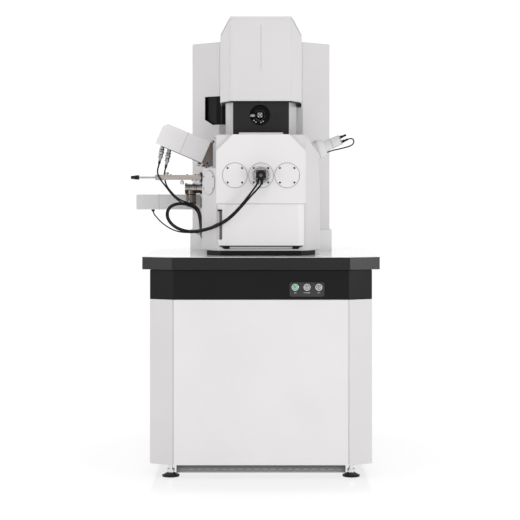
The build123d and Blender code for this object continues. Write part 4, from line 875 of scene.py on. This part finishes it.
def detector_details():
    """Seam, base strip, knobs and connector nuts of the sliding detector."""
    axes = (DETECTOR_OUT, Y_AXIS, DETECTOR_UP)
    box_piece("detector_seam", along_detector(SEAM_DISTANCE, 0), (0.0008, 0.0923, 0.0863),
              seam_grey, "detector", axes, bevel=0)
    box_piece("detector_strip", along_detector(0.309, -0.0442), (0.160, 0.082, 0.0026),
              seam_grey, "detector", axes, bevel=0.0006)
    turned("detector_knob", [(0.0065, 0), (0.0065, 0.010), (0.0045, 0.013)],
           along_detector(0.2275, -0.0520, -0.030), DETECTOR_OUT, polished, "root", segments=24)
    plate = bmesh.new()
    add_box(plate, along_detector(0.2215, -0.049), (0.0055, 0.080, 0.016), axes)
    add_box(plate, along_detector(0.2215, 0.0475), (0.0055, 0.080, 0.010), axes)
    from_bmesh("bracket_plates", plate, brushed_steel, "root")
    screws = bmesh.new()
    for distance, height in ((0.206, -0.036), (0.213, -0.050), (0.196, -0.044), (0.208, 0.036)):
        add_cap_screw(screws, along_detector(distance, height, -0.038), FRONT, 0.0034, 0.003)
    from_bmesh("bracket_screws", screws, black_metal, "root")
    lean = math.radians(11.4)
    down = Vector((-math.sin(lean), 0, -math.cos(lean)))
    nuts = bmesh.new()
    bands = bmesh.new()
    for top in (Vector((-0.3742, BEAM_Y, 1.2127)), Vector((-0.3492, BEAM_Y, 1.1982))):
        add_turned(nuts, [(0.0098, 0), (0.0102, 0.001), (0.0102, 0.009), (0.0098, 0.010)],
                   top + down * 0.024, down, segments=18)
        add_turned(nuts, [(0.0088, 0), (0.0088, 0.006), (0.0062, 0.010)],
                   top + down * 0.043, down, segments=6)
        add_turned(bands, [(0.0112, 0), (0.0112, 0.003)],
                   top + down * 0.0165, down, segments=24)
        add_turned(bands, [(0.0085, 0), (0.0085, 0.0022)],
                   top + down * 0.0365, down, segments=24)
        add_turned(bands, [(0.0056, 0), (0.0050, 0.004), (0.0044, 0.014), (0.0036, 0.016)],
                   top + down * 0.0600, down, segments=20)
    from_bmesh("connector_nuts", nuts, polished, "detector")
    from_bmesh("connector_bands", bands, black_plastic, "detector")


def probe_details():
    """Screws, white knob, flange, collar and grip rings of the probe, and its clamp screw."""
    screws = bmesh.new()
    for x in (-0.3445, -0.2812, -0.2497, -0.2390):
        add_cap_screw(screws, (x, BEAM_Y - 0.004, 1.0985), Z_AXIS, 0.0032, 0.0030)
    for x in (-0.262, -0.247):
        add_cap_screw(screws, (x, BEAM_Y - 0.004, 1.0795), -Z_AXIS, 0.0032, 0.0030)
    from_bmesh("probe_screws", screws, warm_steel, "root")
    turned(
        "probe_knob",
        [(0.0030, 0), (0.0030, 0.003), (0.0078, 0.004), (0.0082, 0.015), (0.0070, 0.017)],
        (-0.3015, BEAM_Y, 1.0795), -Z_AXIS, white_plastic, "root", segments=28,
    )
    flange = bmesh.new()
    add_ring(flange, 0.0140, 0.0205, 0.0032, (-0.2278, BEAM_Y, PROBE_Z), X_AXIS)
    from_bmesh("probe_flange", flange, black_metal, "root")
    collars = bmesh.new()
    add_ring(collars, 0.0042, 0.0068, 0.0030, (-0.4022, BEAM_Y, PROBE_Z), -X_AXIS)
    add_box(collars, (-0.3905, BEAM_Y - 0.0152, PROBE_Z), (0.014, 0.0008, 0.013))
    from_bmesh("probe_collar", collars, polished, "root")
    grips = bmesh.new()
    for x in (-0.4700, -0.4745, -0.4790):
        add_ring(grips, 0.0078, 0.0092, 0.0012, (x, BEAM_Y, PROBE_Z), -X_AXIS)
    from_bmesh("probe_grip_rings", grips, black_plastic, "probe")
    wings = bmesh.new()
    for step in range(12):
        angle = math.radians(30 * step)
        outward = Vector((math.cos(angle), math.sin(angle), 0))
        add_box(wings, Vector((-0.359, BEAM_Y, 1.1045)) + outward * 0.0070,
                (0.0016, 0.0016, 0.0074), (outward, Z_AXIS.cross(outward), Z_AXIS), bevel=0.0003)
    from_bmesh("clamp_knurl", wings, polished, "clamp_screw")


def gauge_details():
    """Dark slots and bands on the vacuum gauge."""
    gauge_y = -0.120
    gauge_z = 1.047
    rings = bmesh.new()
    for x in (-0.2835, -0.2760, -0.2545, -0.2470):
        add_ring(rings, 0.0179, 0.0192, 0.0016, (x, gauge_y, gauge_z), X_AXIS)
    from_bmesh("gauge_slots", rings, black_metal, "root")
    base = bmesh.new()
    add_ring(base, 0.0184, 0.0200, 0.003, (-0.268, gauge_y, 1.022), Z_AXIS)
    add_ring(base, 0.0184, 0.0200, 0.003, (-0.268, gauge_y, 0.990), Z_AXIS)
    from_bmesh("gauge_bands", base, black_metal, "root")


def arm_details():
    """Seam, cable grommet and end cap of the side arm."""
    arm_y = -0.050
    arm_z = 0.995
    box_piece("arm_seam", (-0.394, arm_y, arm_z), (0.0008, 0.0603, 0.0583), seam_grey, "root",
              bevel=0)
    turned("arm_grommet", [(0.0068, 0), (0.0068, 0.003), (0.0040, 0.009)],
           (-0.419, arm_y, 0.9662), -Z_AXIS, black_plastic, "root", segments=24)
    box_piece("arm_end_cap", (-0.4815, arm_y, arm_z), (0.0016, 0.048, 0.046), arm_paint, "root",
              bevel=0.0006)


def secondary_details():
    """Nuts and rings of the detector on the right."""
    nuts = bmesh.new()
    for height in (-0.009, 0.009):
        place = SECONDARY_AIM + SECONDARY_OUT * 0.3252 + SECONDARY_UP * height
        add_turned(nuts, [(0.0074, 0), (0.0074, 0.005), (0.0060, 0.006)], place, SECONDARY_OUT,
                   segments=6)
    add_ring(nuts, 0.0160, 0.0198, 0.0016, SECONDARY_AIM + SECONDARY_OUT * 0.3250, SECONDARY_OUT)
    from_bmesh("secondary_nuts", nuts, polished, "root")
    seams = bmesh.new()
    add_ring(seams, 0.0196, 0.0204, 0.0012, SECONDARY_AIM + SECONDARY_OUT * 0.2900, SECONDARY_OUT)
    add_ring(seams, 0.0345, 0.0353, 0.0010, SECONDARY_AIM + SECONDARY_OUT * 0.2320, SECONDARY_OUT)
    from_bmesh("secondary_seams", seams, seam_grey, "root")


def housing_details():
    """Dark liner behind the cable port, and painted shade in the grip's recess: a dark grey sheet at
    its back and a black bar under its top.
    """
    liner_low = 1.292
    liner_high = 1.420
    liner_y = 0.034
    facet = Vector((-93, -109, 0)).normalized()

    def on_facet(x, z):
        """Place on the left facet of the rear housing, a little behind its skin."""
        return Vector((x, 0.023 + (-0.165 - x) * 93 / 109, z)) - facet * 0.012

    strip(
        "port_liner_side",
        [
            on_facet(-0.236, liner_high),
            on_facet(-0.160, liner_high),
            on_facet(-0.160, liner_low),
            on_facet(-0.200, liner_low),
            on_facet(-0.236, 1.308),
        ],
        0.002, -facet, black_metal, "root",
    )
    strip(
        "port_liner_front",
        [
            (-0.176, liner_y, liner_high),
            (-0.120, liner_y, liner_high),
            (-0.120, liner_y, liner_low),
            (-0.176, liner_y, liner_low),
        ],
        0.002, Y_AXIS, black_metal, "root",
    )
    # Painted shade in the grip's recess: a dark grey sheet at its back and a black bar under its top
    # edge
    box_piece("grip_recess_painted_shade", (-0.1505, -0.3590, 0.9140), (0.0166, 0.0008, 0.1085), grip_painted_shade_grey,
              "door", bevel=0)
    box_piece("grip_shade", (-0.1505, -0.3735, 0.9660), (0.0166, 0.008, 0.0055), black_plastic,
              "door", bevel=0.0008)


def door_details():
    """Dark strip under the lower cover of the door: a painted shadow in the gap beneath it."""
    box_piece("door_gap_painted_shadow", (0, -0.3725, 0.8348), (0.300, 0.006, 0.0040), black_plastic, "door",
              bevel=0.0008)


def pan_details():
    """Pale sheet behind the slots of the base pan: painted light, so that the slots show light grey.
    """
    box_piece("pan_slots_painted_light", (0, -0.3768, 0.0186), (0.600, 0.0008, 0.0100), pan_painted_light, "root",
              bevel=0)


port_details()
cheek_details()
camera_details()
column_details()
button_details()
detector_details()
probe_details()
gauge_details()
arm_details()
secondary_details()
housing_details()
door_details()
pan_details()


# Floor, light and camera

FLOOR_SIZE = 30.0
FLOOR_WHITE = 0.97
FLOOR_GLOSS = 0.12
FLOOR_GLOW = 1.03
LEAST_GLOW = 0.72
GLOW_START = 0.55
GLOW_END = 1.05
SURROUNDINGS = 0.52
BACKDROP = 1.05
BACKDROP_START = 0.55
BACKDROP_END = 0.85


def soft_light(name, place, target, size, power):
    """Rectangular lamp at a place, turned to a target."""
    middle = Vector((MIDDLE_X, 0, 0))
    light = bpy.data.lights.new(name, "AREA")
    light.shape = "RECTANGLE"
    light.size, light.size_y = size
    light.energy = power
    lamp = bpy.data.objects.new(name, light)
    lamp.location = middle + Vector(place)
    lamp.rotation_mode = "QUATERNION"
    lamp.rotation_quaternion = (Vector(target) - Vector(place)).to_track_quat("-Z", "Y")
    bpy.context.scene.collection.objects.link(lamp)


def studio():
    """White floor that melts into white surroundings, and soft lights."""
    shape = bmesh.new()
    bmesh.ops.create_grid(shape, x_segments=1, y_segments=1, size=FLOOR_SIZE)
    mesh = bpy.data.meshes.new("studio_floor")
    shape.to_mesh(mesh)
    shape.free()
    floor = bpy.data.objects.new("studio_floor", mesh)
    bpy.context.scene.collection.objects.link(floor)
    material = bpy.data.materials.new("studio_floor")
    material.use_nodes = True
    tree = material.node_tree
    shader = tree.nodes["Principled BSDF"]
    shader.inputs["Base Color"].default_value = (FLOOR_WHITE, FLOOR_WHITE, FLOOR_WHITE, 1)
    shader.inputs["Roughness"].default_value = FLOOR_GLOSS
    coordinates = tree.nodes.new("ShaderNodeTexCoord")
    flat = tree.nodes.new("ShaderNodeMapping")
    flat.inputs["Location"].default_value = (-MIDDLE_X, 0, 0)
    distance = tree.nodes.new("ShaderNodeVectorMath")
    distance.operation = "LENGTH"
    fade = tree.nodes.new("ShaderNodeMapRange")
    fade.interpolation_type = "SMOOTHSTEP"
    fade.inputs["From Min"].default_value = GLOW_START
    fade.inputs["From Max"].default_value = GLOW_END
    fade.inputs["To Min"].default_value = LEAST_GLOW
    glow = tree.nodes.new("ShaderNodeEmission")
    glow.inputs["Strength"].default_value = FLOOR_GLOW
    blend = tree.nodes.new("ShaderNodeMixShader")
    link(tree, coordinates.outputs["Object"], flat.inputs["Vector"])
    link(tree, flat.outputs["Vector"], distance.inputs[0])
    link(tree, distance.outputs["Value"], fade.inputs["Value"])
    link(tree, fade.outputs["Result"], blend.inputs["Fac"])
    link(tree, shader.outputs["BSDF"], blend.inputs[1])
    link(tree, glow.outputs["Emission"], blend.inputs[2])
    link(tree, blend.outputs["Shader"], tree.nodes["Material Output"].inputs["Surface"])
    floor.data.materials.append(material)

    world = bpy.data.worlds.new("studio")
    bpy.context.scene.world = world
    world.use_nodes = True
    tree = world.node_tree
    background = tree.nodes["Background"]
    background.inputs["Color"].default_value = (1, 1, 1, 1)
    path = tree.nodes.new("ShaderNodeLightPath")
    strength = tree.nodes.new("ShaderNodeMix")
    strength.data_type = "FLOAT"
    strength.inputs["A"].default_value = SURROUNDINGS
    strength.inputs["B"].default_value = BACKDROP
    coordinates = tree.nodes.new("ShaderNodeTexCoord")
    backdrop = tree.nodes.new("ShaderNodeMapRange")
    backdrop.interpolation_type = "SMOOTHSTEP"
    backdrop.inputs["From Min"].default_value = BACKDROP_START
    backdrop.inputs["From Max"].default_value = BACKDROP_END
    either = tree.nodes.new("ShaderNodeMath")
    either.operation = "MAXIMUM"
    depth = along_axis(tree, coordinates.outputs["Generated"], "Y")
    link(tree, depth, backdrop.inputs["Value"])
    link(tree, backdrop.outputs["Result"], either.inputs[0])
    link(tree, path.outputs["Is Camera Ray"], either.inputs[1])
    link(tree, either.outputs["Value"], strength.inputs["Factor"])
    link(tree, strength.outputs["Result"], background.inputs["Strength"])

    # Name, place, target, size and power, with both places counted from the middle plane
    for name, place, target, size, power in (
        ("front_light", (0, -5.2, 1.2), (0, 0, 0.9), (4.4, 2.6), 12),
        ("top_light", (0, -0.5, 4.0), (0, -0.2, 0.6), (3.0, 3.0), 34),
        ("right_light", (2.6, -2.7, 0.85), (0.4, -0.45, 0.8), (0.9, 0.8), 22),
        ("left_light", (-2.6, -2.7, 0.95), (-0.4, -0.45, 0.9), (0.9, 0.8), 11),
        ("high_left_light", (-3.2, -0.9, 1.7), (0, -0.3, 1.4), (0.5, 1.2), 9),
        ("high_right_light", (3.2, -0.9, 1.7), (0, -0.3, 1.4), (0.5, 1.2), 7),
    ):
        soft_light(name, place, target, size, power)


def camera():
    """Level camera in front, with the photograph's framing."""
    photo_width = 520.0
    focal_px = 1426.0
    centre_px = 261.0
    horizon_px = 195.0
    distance = 5.590
    height = 1.022
    data = bpy.data.cameras.new("camera")
    data.sensor_width = 36.0
    data.lens = data.sensor_width * focal_px / photo_width
    data.shift_x = (photo_width / 2 - centre_px) / photo_width
    data.shift_y = (horizon_px - photo_width / 2) / photo_width
    item = bpy.data.objects.new("camera", data)
    item.location = (MIDDLE_X, -distance, height)
    item.rotation_euler = (math.radians(90), 0, 0)
    bpy.context.scene.collection.objects.link(item)
    bpy.context.scene.camera = item


studio()
camera()
bpy.context.scene.view_settings.view_transform = "Standard"
